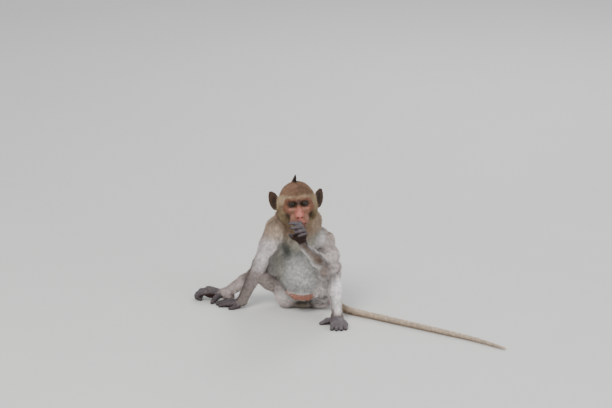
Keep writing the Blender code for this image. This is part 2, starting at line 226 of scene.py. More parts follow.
def neck():
    """A thick neck, hunched between the shoulders, with a ruff under the jaw."""
    cone("neck", "T", (-5, -10, 196), (-8, -46, 238), 40, 34, 14, fur="neck")
    heap("neck", [
        ((-7, -8, 212), (46, 34, 26), 12, "neck"),
        ((4, -6, 206), (40, 28, 32), 12, "neck"),
        ((-37, -8, 222), (22, 25, 20), 12, "neck"),
    ])
    slope = [(-38, 7, 227), (-43, 7, 213), (-56, 3, 197)]
    chain("neck", "T", slope, [14, 15.5, 15], 12, fur="neck")
    heap("neck", [((-8, -18, 238), (33, 27, 30), 12, "ruff")])
    cone("neck", "T", (-8, -36, 254), (-5, -4, 204), 27, 36, 14, fur="neck")


def head():
    """Crown, cheeks, brow and orbits, then the muzzle, the tuft on the crown and the features."""

    def part(centre, radii, blend=8, carve=False, fur="face"):
        ball("head", "T", in_head(centre), radii, blend, HEAD_TURN, carve, fur)

    def bars(points, radii, blend=8, carve=False, fur="face"):
        chain("head", "T", [in_head(point) for point in points], radii, blend, None, fur, carve)

    part((0.9, 44, 12), (37.3, 40, 35), 10, fur="cap")
    part((0, 22, 8), (31, 26, 24), 12, fur="cap")
    part((0, 26, -36), (27, 26, 22), 12, fur="cheek")
    for side in (-1, 1):
        part((24 * side, 32, 2), (17, 28, 25), 10, fur="temple")
        part((30 * side, 26, -18), (14.5, 23, 23), 10, fur="cheek")
        part((24 * side, 7, -10), (12, 11, 11))
        bars([(24 * side, 30, -28), (10 * side, 0, -45)], [13, 10], fur="cheek")
        bars([(0, -4.5, 9), (14 * side, -4, 11)], [5.5, 6.8], 5, fur="brow")
        bars([(14 * side, -4, 11), (25 * side, 3, 7)], [6.8, 5.5], 6, fur="brow")
        bars([(25 * side, 3, 7), (27 * side, 4, -6), (18 * side, -1, -16)], [5.5, 5.5, 7], 6)
        part((8 * side, -2, -15), (8.5, 9, 12), 6)
    bars([(0, 8, -24), (0, -8, -34)], [21, 16.5])
    for side in (-1, 1):
        part((10.5 * side, -6, -33), (11, 14, 11.5), 6)
    bars([(0, -4.5, 6), (0, -17.5, -19)], [5, 6.5], 6)
    for centre, radii in (
        ((0, -21, -25), (8, 6.5, 6)), ((0, -14.5, -36.5), (14.5, 9, 7.5)),
        ((0, -3, -48), (15, 16, 9)), ((0, -11, -50), (9, 8, 7)),
    ):
        part(centre, radii, 4)
    bars([(-3.4, 34, 42), (0.6, 33, 58.5)], [7.2, 2.9], 5, fur="spike")
    for side in (-1, 1):
        part((EYE_APART / 2 * side, -8.5, -0.5), (9.5, 6.5, 7), 4, carve=True)
    for side in (-1, 1):
        lids(side, part, bars)
    nose_and_mouth(part, bars)


def lids(side, part, bars):
    """Lids round the eyeball, an arched ridge above, a soft bag below and the slit that bares the eye."""
    x = EYE_APART / 2 * side

    def ridge(points, radius, blend):
        bars([(x + across * side, y, z) for across, y, z in points], [radius] * len(points), blend)

    part((x, 0.5, 0), (9.5, 9.5, 9.5), 2.0)
    arch = [(-8.3, -3.6, 1.2), (-4.6, -7.2, 5.2), (0.5, -7.6, 6.3), (5.2, -6.0, 5.0), (8.6, -1.6, 0.6)]
    ridge(arch, 1.25, 1.0)
    bag = [(-8.2, -5.2, -4.6), (-4.2, -7.4, -8.2), (1.0, -7.2, -9.2), (6.0, -4.6, -8.0), (10.0, -0.6, -4.0)]
    ridge(bag, 1.3, 1.4)
    part((x, -9.3, -0.8), (7.9, 7, 3.4), 0.7, carve=True)
    part((x - 7.0 * side, -7.6, -1.6), (2.4, 3.2, 1.2), 0.8, carve=True)


def nose_and_mouth(part, bars):
    """Wings of the nose, nostrils, the line of the mouth between two lips, and the furrow above it."""
    for side in (-1, 1):
        part((5.6 * side, -19.6, -26.4), (3.1, 4.2, 3.1), 1.6)
        bars([(2.9 * side, -27, -28.6), (5.4 * side, -20.5, -26.2)], [1.3, 1.9], 1.0, carve=True)
        line = [(0, -24.6, -41.6), (8, -21.4, -41.4), (14.5, -14.0, -40.4), (17.5, -6.0, -39.0)]
        bars([(x * side, y, z) for x, y, z in line], [0.8, 0.8, 0.7, 0.4], 0.9, carve=True)
        bars([(0, -22.2, -39.9), (9 * side, -19.2, -39.7)], [1.5, 1.2], 1.0)
        bars([(0, -19.8, -44.0), (8 * side, -16.6, -43.6)], [1.5, 1.2], 1.0)
        bars([(9.2 * side, -14.6, -17.5), (14.0 * side, -11.0, -27.0)], [0.7, 0.5], 1.6, carve=True)
    bars([(0, -24.7, -31.5), (0, -23.9, -38.5)], [0.5, 0.5], 1.2, carve=True)


def ear(side):
    """A thin upright leaf that stands out from the head, hollow in front, with a blunt corner at its top."""
    name = "ear_left" if side > 0 else "ear_right"
    out = unit((0.68 * side, 0.73, 0.02))
    upright = np.array((0.16 * side, 0.06, 1.0))
    up = unit(upright - out * (out @ upright))
    face = np.cross(up, out) * side
    axes = HEAD_TURN @ np.column_stack((out, up, face))
    middle = np.array((48.5 * side, 46, 4.5 - 1.5 * side))
    front = 1 if face[1] < 0 else -1

    def place(along, height, depth=0.0):
        return in_head(middle + out * along + up * height + face * depth * front)

    def leaf(centre, radii, blend, carve=False):
        ball(name, "T", place(*centre), radii, blend, axes, carve, "ear")

    def ridge(points, depth, radii):
        chain(name, "T", [place(along, height, depth) for along, height in points], radii, 1.4, fur="ear")

    flat = (axes[:, 2], 0.3)
    leaf((0, -1), (15, 20.5, 3.2), 5)
    cone(name, "T", place(2, 7), place(7, 16), 10, 6, 3, flat, fur="ear")
    cone(name, "T", place(-3, -12), place(-6, -19), 8, 4, 3, flat, fur="ear")
    leaf((-1, 0, 5), (10.5, 15, 4.6), 2, carve=True)
    rim = [(-10, 11), (-5, 17.5), (3, 20.5), (10, 19), (13, 11), (13.5, 0), (11, -9), (5, -16)]
    ridge(rim, 1.6, [0.8, 1.2, 1.4, 1.5, 1.5, 1.5, 1.3, 0.9])
    ridge([(-5, 9), (2, 8), (6, 1), (5, -6), (0, -10)], 0.9, [0.8, 1.3, 1.5, 1.3, 0.8])
    leaf((-8, -4, 1.5), (2.2, 3.6, 1.8), 1.5)


def arm(side):
    """Upper arm and forearm. The left elbow is bent sharply, with its muscles bunched."""
    group = "L" if side == "left" else "R"
    shoulder, elbow, wrist = SHOULDER[side], ELBOW[side], WRIST[side]
    upper, fore = "upper_arm_" + side, "forearm_" + side
    middle = between(shoulder, elbow, 0.45)
    cone(upper, "T" + group, shoulder, middle, 25, 21.5, 12, fur="arm")
    cone(upper, group, middle, elbow, 21.5, 17.5, 10, fur="arm")
    belly = between(elbow, wrist, 0.4)
    cone(fore, group, elbow, belly, 17, 16, 10, fur="forearm")
    cone(fore, group, belly, wrist, 16, 10.5 if side == "left" else 12.5, 8, fur="forearm")
    if side == "left":
        down = unit(np.array(elbow, float) - shoulder)
        for groups, centre, radii, blend in (
            ("T" + group, (63, -34, 137), 22, 12), (group, (71, -54, 118), 18.5, 10),
            ("T" + group, (48, -38, 134), (17, 18, 20), 14), (group, (50, -57, 143), (15, 15, 15), 14),
        ):
            ball(upper, groups, centre, radii, blend, fur="arm", lie=down)
        on = unit(np.array(wrist, float) - elbow)
        ball(fore, group, (48, -77, 105), 12.5, 10, fur="forearm", lie=on)


def digit(name, group, points, radii, blend=2.5, nail=True):
    """A finger or toe, with swollen joints and a nail on the last bone."""
    chain(name, group, points, radii, blend, fur="digit")
    for point, radius in list(zip(points, radii))[1:-1]:
        ball(name, group, point, radius * 1.01, 1.5, fur="digit", lie=(0, 0, 1))
    if nail:
        NAILS.append((points[-2], points[-1], radii[-1]))


def hand_left():
    """The hand is held to the lips, its palm to the front, the fingers bent across the mouth."""
    palm_normal = (0.2, -0.89, -0.4)
    name, group = "hand_left", "L"
    cone(name, group, (4, -107, 183), (-4, -117, 212), 8.5, 12.5, 6, (palm_normal, 0.6), fur="hand")
    knuckle = [(-11, -121, 223), (-5, -123, 224), (1, -123, 221), (6, -121, 216)]
    bend = [(-4, -132, 243), (-1, -136, 237), (4, -136, 229), (8, -132, 221)]
    tip = [(-26, -131, 243), (-22, -137, 234), (-14, -140, 225), (-6, -139, 217)]
    for root, joint, end in zip(knuckle, bend, tip):
        half = between(joint, end, 0.55)
        half = (half[0], half[1] - 2, half[2] + 1)
        points = [(root[0] * 0.8, root[1] + 4, root[2] - 9), root, joint, half, end]
        digit(name, group, points, [6, 5, 4.4, 4, 3.3])
    digit(name, group, [(-5, -111, 197), (-17, -120, 207), (-26, -127, 215)], [6, 5, 3.4], 3)


def hand_right():
    """The hand lies flat beside the body and bears weight, its fingers spread outwards."""
    name, group = "hand_right", "R"
    cone(name, group, (-135, -1, 13), (-161, 9, 8), 11, 13, 6, ((0, 0, 1), 0.68), fur="hand")
    for k in range(4):
        spread = math.radians(176 - 11 * k)
        root = (-159, 6 * k, 8)
        way = np.array((math.cos(spread), math.sin(spread)))
        length = (15, 19, 18, 14)[k]
        joint = (root[0] + way[0] * length, root[1] + way[1] * length, 7.5)
        end = (root[0] + way[0] * length * 1.75, root[1] + way[1] * length * 1.75, 3.0)
        digit(name, group, [root, joint, end], [6, 4.6, 3.6])
    digit(name, group, [(-142, -7, 7), (-153, -13, 5), (-162, -15, 3)], [6, 4.6, 3.4], 3)


def leg(side):
    """Thigh and shank. The left knee is up, the right leg lies out to the side."""
    left = side == "left"
    group = "P" if left else "Q"
    hip, knee, ankle = HIP[side], KNEE[side], ANKLE[side]
    thigh, shank = "thigh_" + side, "shank_" + side
    middle = between(hip, knee, 0.5)
    cone(thigh, "T" + group, hip, middle, 35, 27, 8, fur="thigh")
    cone(thigh, group, middle, knee, 27, 19.5, 8, fur="thigh")
    haunch = [((38, 2, 34.5), (33, 34, 36), 10), ((47, -33, 52), (18, 17, 26), 16)]
    if not left:
        haunch = [((-33, 8, 34.5), (28, 34, 36), 10)]
    along = unit(np.array(knee, float) - hip)
    for centre, radii, blend in haunch:
        ball(thigh, "T" + group, centre, radii, blend, fur="thigh", lie=along)
    calf = between(knee, ankle, 0.4)
    calf = (calf[0], calf[1] + 4, calf[2] - 3)
    cone(shank, group, knee, calf, 18.5, 17.5, 8, fur="shank")
    cone(shank, group, calf, ankle, 17.5, 12.5 if left else 11.5, 8, fur="shank")


def foot_left():
    """The foot stands flat on the ground, its toes a little apart and bent down."""
    name, group = "foot_left", "P"
    cone(name, group, (76, -86, 11), (78, -104, 15), 12, 13, 6, fur="ankle")
    cone(name, group, (78, -104, 15), (80, -125, 9.5), 13, 17, 6, ((0, 0.2, 1), 0.66), fur="foot")
    for k in range(4):
        x, reach, fan = 68.5 + 8.3 * k, (0, 3, 2, -2)[k], k - 1.5
        points = [(x, -122, 9), (x + 1 + 1.2 * fan, -136 - reach, 10), (x + 2 * fan, -146 - reach, 3.4)]
        digit(name, group, points, [6.5, 5.2, 4.2])
    digit(name, group, [(72, -106, 11), (56, -109, 9), (43, -111, 3.8)], [8, 6.2, 4.6], 4)


def foot_right():
    """The foot lies turned outwards, arched, with the toes curled down to the ground."""
    name, group = "foot_right", "Q"
    cone(name, group, (-163, 42, 11), (-178, 46, 17), 12, 11.5, 6, fur="ankle")
    cone(name, group, (-178, 46, 17), (-208, 52, 21.5), 11.5, 14.5, 6, ((0.35, -0.25, 1), 0.58), fur="foot")
    for k in range(4):
        y, short = 42 + 7.2 * k, abs(k - 1)
        points = [(-209, y, 20.5), (-229, y + 2, 17)]
        points += [(-239.5 + short, y + 3, 9.5), (-231 + short, y + 3, 3.6)]
        digit(name, group, points, [6.2, 5.2, 4.6, 3.9])
    ball(name, group, (-205, 51, 13), (15, 13, 7.5), 5, fur="foot")
    digit(name, group, [(-184, 40, 17), (-196, 29, 11), (-203, 24, 3.8)], [7.5, 6, 4.4], 4)


def tail():
    """Bars along a smooth curve through the route, lying on the ground past the rump."""
    nodes = [name for name, spans in TAIL_PARTS for _ in range(spans * TAIL_STEPS)]
    route = np.array(TAIL_ROUTE, float)
    padded = np.vstack([2 * route[0] - route[1], route, 2 * route[-1] - route[-2]])
    spots = []
    for k in range(len(nodes) + 1):
        span = min(k // TAIL_STEPS, len(route) - 2)
        t = k / TAIL_STEPS - span
        before, start, end, after = padded[span : span + 4]
        bend = (2 * before - 5 * start + 4 * end - after) * t**2
        bend = bend + (3 * start - before - 3 * end + after) * t**3
        x, y, radius = start + 0.5 * ((end - before) * t + bend)
        lift = max(0.0, 1 - k / (2 * TAIL_STEPS)) ** 1.5
        spots.append((x, y, (radius - 0.7) * (1 - lift) + TAIL_ROOT_HEIGHT * lift, radius))
    for node, (*start, radius), (*end, end_radius) in zip(nodes, spots, spots[1:]):
        cone(node, "T", start, end, radius, end_radius, 1.5, fur="tail")


def body():
    """All forms of the animal, in the order that the solids have."""
    trunk()
    neck()
    head()
    for side in (-1, 1):
        ear(side)
    for side in ("right", "left"):
        arm(side)
        leg(side)
    hand_right()
    hand_left()
    foot_right()
    foot_left()
    tail()


# ---------------------------------------------------------------- measuring the forms


def distance(form, points):
    """How far points lie outside a form, in metres."""
    if form.kind == "ball":
        local = (points - form.a) @ form.axes
        length = np.linalg.norm(local / form.ra, axis=1)
        slope = np.linalg.norm(local / form.ra**2, axis=1)
        return length * (length - 1) / np.maximum(slope, 1e-9)
    offset, line = points - form.a, form.b - form.a
    if form.axes is not None:
        normal, thin = form.axes
        offset = offset + np.outer(offset @ normal * (1 / thin - 1), normal)
        line = line + (line @ normal) * (1 / thin - 1) * normal
    along = np.clip(offset @ line / (line @ line), 0, 1)
    away = np.linalg.norm(offset - along[:, None] * line, axis=1)
    return away - (form.ra + along * (form.rb - form.ra))


def smooth_union(first, second, width):
    """The nearer of two distances, rounded where they differ by less than width."""
    share = np.maximum(width - np.abs(first - second), 0) / width
    return np.minimum(first, second) - share**2 * width / 4


def reach_of(form):
    """The centre and radius of a sphere that holds the form."""
    if form.kind == "ball":
        return form.a, form.ra.max()
    return (form.a + form.b) / 2, np.linalg.norm(form.b - form.a) / 2 + max(form.ra, form.rb)


def blocks(points):
    """Groups of points in the same block of space, with the numbers of the forms near each block."""
    key = np.floor(points / CELL).astype(np.int64) @ np.array([1, 1 << 20, 1 << 40])
    order = np.argsort(key, kind="stable")
    spheres = [reach_of(form) for form in FORMS]
    centres = np.array([centre for centre, _ in spheres])
    radii = np.array([radius for _, radius in spheres])
    for rows in np.split(order, np.flatnonzero(np.diff(key[order])) + 1):
        low, high = points[rows].min(0), points[rows].max(0)
        away = np.linalg.norm(np.maximum(np.maximum(low - centres, centres - high), 0), axis=1)
        yield rows, np.flatnonzero(away < radii + REACH)


def measure(points, wanted="surface"):
    """How far points lie outside the skin. "all" adds the coat's depth, the shares of kinds and the lie."""
    value, depth = np.full(len(points), FAR), np.zeros(len(points))
    shares, lie = np.zeros((len(points), len(KINDS))), np.zeros((len(points), 3))
    for rows, near in blocks(points):
        here = points[rows]
        gaps = {k: distance(FORMS[k], here) for k in near}
        coat = np.full(len(here), FAR)
        for group in "TLRPQ":
            limb = np.full(len(here), FAR)
            for k in near:
                form = FORMS[k]
                if group not in form.groups:
                    continue
                if form.carve:
                    limb = -smooth_union(-limb, gaps[k], form.blend)
                else:
                    limb = smooth_union(limb, gaps[k], form.blend)
            coat = smooth_union(coat, limb, CREASE)
        solid = [k for k in near if not FORMS[k].carve]
        if not solid:
            value[rows] = coat
            continue
        least = np.min([gaps[k] for k in solid], axis=0)
        total = np.zeros(len(here))
        for k in solid:
            form, weight = FORMS[k], np.exp((least - gaps[k]) / MINGLE)
            total += weight
            depth[rows] += weight * FURS[form.fur][0] * MM
            if wanted == "all":
                shares[rows, KINDS.index(form.fur)] += weight
                lie[rows] += weight[:, None] * (head_lie(here) if form.lie is None else form.lie)
        depth[rows] /= total
        shares[rows] /= total[:, None]
        value[rows] = coat + depth[rows]
    value = np.maximum(value, -points[:, 2])
    return value if wanted == "surface" else (value, depth, shares, lie)


def head_place(points):
    """Places in millimetres from the middle between the eyes, along the axes of the head."""
    return (points / MM - np.array(EYES_AT)) @ HEAD_TURN


def rise(values, start, end):
    """0 before start, 1 past end, smooth between."""
    share = np.clip((values - start) / (end - start), 0, 1)
    return share * share * (3 - 2 * share)


def head_lie(points):
    """From the brow back over the crown to the nape, and back, out and down on the cheeks."""
    x, y, z = head_place(points).T
    crown = np.column_stack((0.25 * x / 30, np.ones(len(x)), 0.9 - 2.0 * rise(y, 0, 62)))
    cheek = np.column_stack((0.5 * np.sign(x), np.full(len(x), 0.8), np.full(len(x), -0.45)))
    share = rise(z, -6, 12)[:, None]
    way = crown * share + cheek * (1 - share)
    return way / np.linalg.norm(way, axis=1)[:, None] @ HEAD_TURN.T


# ---------------------------------------------------------------- helpers for meshes and nodes


def settings(name):
    return getattr(bpy.context.scene, name)


def add_object(name, mesh):
    made = bpy.data.objects.new(name, mesh)
    bpy.context.scene.collection.objects.link(made)
    return made


def only(thing):
    """Makes one object the only selected and the active one."""
    bpy.ops.object.select_all(action="DESELECT")
    thing.select_set(True)
    bpy.context.view_layer.objects.active = thing


def baked(thing):
    """The object's mesh as its modifiers leave it, which then replaces them."""
    view = bpy.context.evaluated_depsgraph_get()
    mesh = bpy.data.meshes.new_from_object(thing.evaluated_get(view), depsgraph=view)
    thing.modifiers.clear()
    thing.data = mesh
    mesh.name = thing.name


def corners_of(mesh):
    values = np.empty(len(mesh.vertices) * 3, np.float32)
    mesh.vertices.foreach_get("co", values)
    return values.reshape(-1, 3).astype(float)


FIELDS = {"FLOAT": ("value", 1), "FLOAT_VECTOR": ("vector", 3), "FLOAT_COLOR": ("color", 4)}


def store(mesh, name, kind, values):
    made = mesh.attributes.new(name, kind, "POINT")
    made.data.foreach_set(FIELDS[kind][0], np.ascontiguousarray(values, np.float32).ravel())


def fetch(mesh, name):
    layer = mesh.attributes[name]
    field, width = FIELDS[layer.data_type]
    values = np.empty(len(layer.data) * width, np.float32)
    layer.data.foreach_get(field, values)
    return values.reshape(-1, width) if width > 1 else values


def new_mesh(name, corners, faces):
    mesh = bpy.data.meshes.new(name)
    mesh.from_pydata([tuple(corner) for corner in corners], [], faces)
    return mesh


def triangles(mesh):
    return sum(len(face.vertices) - 2 for face in mesh.polygons)


class Tree:
    """Builds a node tree line by line."""

    def __init__(self, tree):
        self.tree = tree
        self.column = 0

    def give(self, node, inputs):
        """Sets a node's inputs, or links them where a value is another node's socket."""
        for key, value in inputs.items():
            if isinstance(value, bpy.types.NodeSocket):
                self.tree.links.new(value, node.inputs[key])
            else:
                node.inputs[key].default_value = value

    def add(self, kind, inputs=None, **properties):
        node = self.tree.nodes.new(kind)
        node.location = (220 * (self.column % 12), -260 * (self.column // 12))
        self.column += 1
        for name, value in properties.items():
            setattr(node, name, value)
        self.give(node, inputs or {})
        return node

    def math(self, operation, *values):
        return self.add("ShaderNodeMath", dict(enumerate(values)), operation=operation).outputs[0]

    def vector(self, operation, first, second=None, scale=None):
        inputs = {0: first, 1: second, "Scale": scale}
        given = {key: value for key, value in inputs.items() if value is not None}
        return self.add("ShaderNodeVectorMath", given, operation=operation).outputs[0]

    def blend(self, share, first, second, blend_type="MIX"):
        """A colour between two colours, in a material."""
        inputs = {0: share, 6: first, 7: second}
        return self.add("ShaderNodeMix", inputs, data_type="RGBA", blend_type=blend_type).outputs[2]

    def shaded(self, colour, factor):
        """A colour made darker or brighter by a factor."""
        grey = self.add("ShaderNodeCombineColor", {k: factor for k in range(3)}).outputs[0]
        return self.blend(1.0, colour, grey, "MULTIPLY")

    def ramp(self, value, start, end, low, high, **properties):
        """low where the value is at start, high where it is at end, and straight between."""
        inputs = {0: value, 1: start, 2: end, 3: low, 4: high}
        return self.add("ShaderNodeMapRange", inputs, **properties).outputs[0]

    def attribute(self, name, output="Fac"):
        return self.add("ShaderNodeAttribute", attribute_name=name).outputs[output]

    def place(self):
        return self.add("ShaderNodeTexCoord").outputs["Object"]

    def noise(self, place, scale, detail, output="Fac", **inputs):
        values = {"Vector": place, "Scale": scale, "Detail": detail, **inputs}
        return self.add("ShaderNodeTexNoise", values).outputs[output]

    def bump(self, height, strength, distance, **inputs):
        values = {"Height": height, "Strength": strength, "Distance": distance, **inputs}
        return self.add("ShaderNodeBump", values).outputs[0]


def new_material(name):
    made = bpy.data.materials.new(name)
    made.use_nodes = True
    made.node_tree.nodes.clear()
    tree = Tree(made.node_tree)
    shader = tree.add("ShaderNodeBsdfPrincipled")
    tree.add("ShaderNodeOutputMaterial", {"Surface": shader.outputs["BSDF"]})
    return made, tree, shader


def linear(red, green, blue):
    """A colour for Blender from its usual 0 to 255 values."""
    parts = [value / 255 for value in (red, green, blue)]
    return tuple(p / 12.92 if p <= 0.04045 else ((p + 0.055) / 1.055) ** 2.4 for p in parts)


# ---------------------------------------------------------------- settings


def shade(name, description, *rgb):
    return bpy.props.FloatVectorProperty(
        name=name, description=description, subtype="COLOR", size=3, min=0, max=1, default=linear(*rgb)
    )


def length(name, description, millimetres):
    return bpy.props.FloatProperty(
        name=name, description=description, subtype="DISTANCE", unit="LENGTH",
        min=0, default=millimetres * MM,
    )


def factor(name, description, default, most=4.0):
    return bpy.props.FloatProperty(name=name, description=description, min=0, max=most, default=default)


class MacaqueCoatSettings(bpy.types.PropertyGroup):
    """Colours of the coat, and the size and number of its tufts"""

    cap: shade("Cap", "Hair from the brow to the crown", 133, 103, 82)
    brow: shade("Brow", "Fine hair on the brow", 140, 98, 78)
    temple: shade("Temple", "Pale hair beside and over the brows", 186, 162, 130)
    cheek: shade("Cheek", "Hair of the cheeks", 142, 121, 93)
    neck: shade("Neck", "Hair of the neck and shoulders' front", 163, 135, 111)
    back: shade("Back", "Hair of the back", 142, 127, 108)
    belly: shade("Belly", "Hair of the belly", 196, 195, 192)
    chest: shade("Chest", "Hair of the chest", 192, 188, 175)
    # Painted shade: laid in the right armpit, on the chest below the raised hand and under the belly's fold
    painted_shade: shade("Painted shade", "Dark patch below the right shoulder", 78, 82, 81)
    arm: shade("Arms", "Outer side of the arms", 240, 229, 230)
    shoulder: shade("Shoulders", "Upper end of the arms", 206, 186, 166)
    # Also laid as painted shade on the right haunch and by the left elbow
    forearm: shade("Forearms", "Lower part of the arms", 154, 141, 136)
    # Also laid as painted light in the creases round the left arm
    inner: shade("Inner sides", "Whitish hair inside arms and legs", 254, 249, 247)
    leg: shade("Legs", "Hair of the legs", 208, 192, 187)
    tail: shade("Tail", "Hair of the tail", 232, 212, 190)
    spike: shade("Crown tuft", "The dark tuft on the crown", 52, 38, 28)
    reach: factor("Length", "Length of a tuft over the depth of the coat", 1.9)
    least: length("Least length", "Length of the shortest tufts", 2.6)
    breadth: length("Breadth", "Half the breadth of a tuft at its root", 1.0)
    splay: factor("Splay", "How much tufts stray from the lie of the coat", 0.26)
    packing: factor("Packing", "Tufts over a square millimetre of skin", 0.62)
    seed: bpy.props.IntProperty(name="Seed", description="Start of the random places", default=7)


class MacaqueSkinSettings(bpy.types.PropertyGroup):
    """Fineness of the skin, and its colours where it is bare"""

    grid: length("Grid", "Distance of the points that the skin is drawn from", 1.25)
    kept: factor("Kept", "Share of the faces kept under the coat", 0.2, 1.0)
    face: shade("Face", "Bare skin of the face", 114, 75, 58)
    nose: shade("Nose", "Pink bridge and tip of the nose", 172, 104, 92)
    rim: shade("Orbit", "Skin round the outer corners of the eyes", 106, 68, 50)
    bag: shade("Lower lid", "Pale crescent below the eye", 150, 102, 86)
    # Also laid round the eyes, partly as dark skin and partly as painted shade of the sockets
    between: shade("Frown", "Greyish skin between the eyes", 60, 43, 35)
    muzzle: shade("Muzzle", "Sides of the muzzle", 136, 96, 80)
    # Also used as painted shade in the line of the mouth and where the muzzle meets the cheeks
    lid: shade("Lid edge", "Dark edges of the lids", 50, 38, 32)
    nostril: shade("Nostril", "Inside of the nostrils", 96, 40, 38)
    ear: shade("Ears", "Bare skin of the ears", 58, 40, 28)
    hand: shade("Hands and feet", "Bare skin of the right hand and foot", 80, 71, 73)
    # Painted light: the left hand and foot are painted paler than the right, for the highlights they catch
    hand_with_painted_light: shade("Left hand and foot", "Bare skin of the left hand and foot", 98, 90, 93)
    palm: shade("Palms and soles", "Bare skin of palms and soles", 40, 17, 9)
    fold: shade("Fold", "Skin below the belly", 140, 96, 82)


class MacaqueEyeSettings(bpy.types.PropertyGroup):
    """Measures and colours of the eyes, and the colour of the nails"""

    pupil: length("Pupil", "Radius of the pupil", 2.4)
    iris: length("Iris", "Radius of the iris", 4.9)
    iris_color: shade("Iris colour", "Outer part of the iris", 46, 36, 22)
    inner_color: shade("Inner iris", "Ring round the pupil", 70, 62, 38)
    white: shade("White", "Brownish white of the eye", 56, 40, 32)
    nail: shade("Nails", "Nails of fingers and toes", 36, 30, 28)


class MacaqueStageSettings(bpy.types.PropertyGroup):
    """Camera, floor and light of the studio"""

    distance: length("Distance", "Camera to animal", 6000)
    height: bpy.props.FloatProperty(
        name="Elevation", description="Angle of the camera above level", subtype="ANGLE",
        default=math.radians(18),
    )
    breadth: length("Breadth of view", "Breadth of what the camera sees at the animal", 1360)
    floor: shade("Floor", "Colour of the floor", 214, 213, 209)
    light: factor("Light", "Strength of all lights", 1.3)


# ---------------------------------------------------------------- the skin


def block_field(step):
    """The skin's distance on a fine grid, measured near the surface only."""
    spheres = [reach_of(form) for form in FORMS]
    low = np.min([centre - radius for centre, radius in spheres], axis=0) - 4 * step
    high = np.max([centre + radius for centre, radius in spheres], axis=0) + 4 * step
    low[2] = -4 * step
    side = 8
    low = np.floor(low / step) * step
    many = np.ceil((high - low) / (side * step)).astype(int)
    half = (side - 1) / 2 * step
    centres = [low[k] + side * step * np.arange(many[k]) + half for k in range(3)]
    middles = np.stack(np.meshgrid(*centres, indexing="ij"), axis=-1).reshape(-1, 3)
    rough = measure(middles).reshape(many)
    values = np.repeat(np.repeat(np.repeat(np.where(rough > 0, FAR, -FAR), side, 0), side, 1), side, 2)
    values = values.astype(np.float32)
    inside = np.stack(np.meshgrid(*[np.arange(side)] * 3, indexing="ij"), axis=-1).reshape(-1, 3)
    close = np.argwhere(np.abs(rough) < half * 1.75 + 6 * MM)
    rows = (close[:, None, :] * side + inside[None]).reshape(-1, 3)
    values[rows[:, 0], rows[:, 1], rows[:, 2]] = measure(low + rows * step)
    return low, values


def slope(points, here, step=0.2 * MM):
    """The way out of the skin and how steeply its distance grows there."""
    return np.column_stack([(measure(points + step * np.eye(3)[k]) - here) / step for k in range(3)])


def settle(points, rounds=2, most=0.5 * MM):
    """Points moved onto the skin's exact surface."""
    for _ in range(rounds):
        value = measure(points)
        way = slope(points, value)
        move = value / np.maximum((way**2).sum(1), 0.3)
        move = np.clip(move, -most, most)
        points = points - move[:, None] * way
    points[:, 2] = np.maximum(points[:, 2], 0)
    return points


def refine(mesh, wanted):
    """Cuts the edges between wanted corners in half."""
    shape = bmesh.new()
    shape.from_mesh(mesh)
    shape.verts.ensure_lookup_table()
    chosen = wanted(corners_of(mesh))
    edges = [edge for edge in shape.edges if chosen[edge.verts[0].index] and chosen[edge.verts[1].index]]
    bmesh.ops.subdivide_edges(shape, edges=edges, cuts=1, use_grid_fill=True)
    bmesh.ops.triangulate(shape, faces=[face for face in shape.faces if len(face.verts) > 4])
    shape.to_mesh(mesh)
    shape.free()


def bare(points):
    """The bare parts: face, ears, hands, feet and the fold below the belly."""
    return measure(points, "all")[1] < 0.9 * MM


def fine_face(points):
    """The lids, the nose and the mouth."""
    x, y, z = head_place(points).T
    eyes = np.hypot(np.abs(x) - EYE_APART / 2, z) < 12.5
    nose = (np.abs(x) < 11) & (z > -34) & (z < -16)
    mouth = (np.abs(x) < 20) & (z > -47) & (z < -33)
    return (y < 4) & (eyes | nose | mouth)


def skin_mesh():
    """The skin of all forms, fine where it is bare and coarser under the coat."""
    chosen = settings("macaque_skin")
    low, values = block_field(chosen.grid)
    grid = openvdb.FloatGrid(FAR)
    grid.copyFromArray(np.ascontiguousarray(values))
    corners, quads = grid.convertToQuads(0.0)
    corners = corners * chosen.grid + low
    corners, quads = main_piece(corners, quads)
    if signed_volume(corners, quads[:, :3]) < 0:
        quads = quads[:, ::-1]
    mesh = bpy.data.meshes.new("skin")
    mesh.from_pydata(corners.tolist(), [], quads.tolist())
    thing = add_object("skin", mesh)
    soft = thing.vertex_groups.new(name="under the coat")
    furred = np.flatnonzero(~bare(corners))
    soft.add(furred.tolist(), 1.0, "REPLACE")
    thin = thing.modifiers.new("Fewer faces", "DECIMATE")
    thin.ratio, thin.vertex_group, thin.vertex_group_factor = chosen.kept, soft.name, 10.0
    baked(thing)
    thing.vertex_groups.clear()
    refine(thing.data, fine_face)
    refine(thing.data, fine_face)
    places = settle(corners_of(thing.data), 3)
    thing.data.vertices.foreach_set("co", places.astype(np.float32).ravel())
    thing.data.update()
    thing.data.shade_smooth()
    return thing


def signed_volume(corners, faces):
    """Above 0 where the faces look outwards."""
    a, b, c = (corners[faces[:, k]] for k in range(3))
    return float(np.einsum("ij,ij->i", a, np.cross(b, c)).sum())


def main_piece(corners, faces):
    """The surface without loose crumbs."""
    label = np.arange(len(corners))
    while True:
        lowest = label.copy()
        reach = label[faces].min(axis=1)
        for k in range(faces.shape[1]):
            np.minimum.at(lowest, faces[:, k], reach)
        lowest = lowest[lowest]
        if (lowest == label).all():
            break
        label = lowest
    biggest = np.bincount(label[faces[:, 0]]).argmax()
    kept = faces[label[faces[:, 0]] == biggest]
    used, faces = np.unique(kept, return_inverse=True)
    return corners[used], faces.reshape(kept.shape)


# ---------------------------------------------------------------- markings


class Paint:
    """Colours of points, washed over one after the other."""

    def __init__(self, colours):
        self.colours = colours

    def wash(self, other, share):
        self.colours = self.colours + (np.array(other) - self.colours) * np.asarray(share)[:, None]


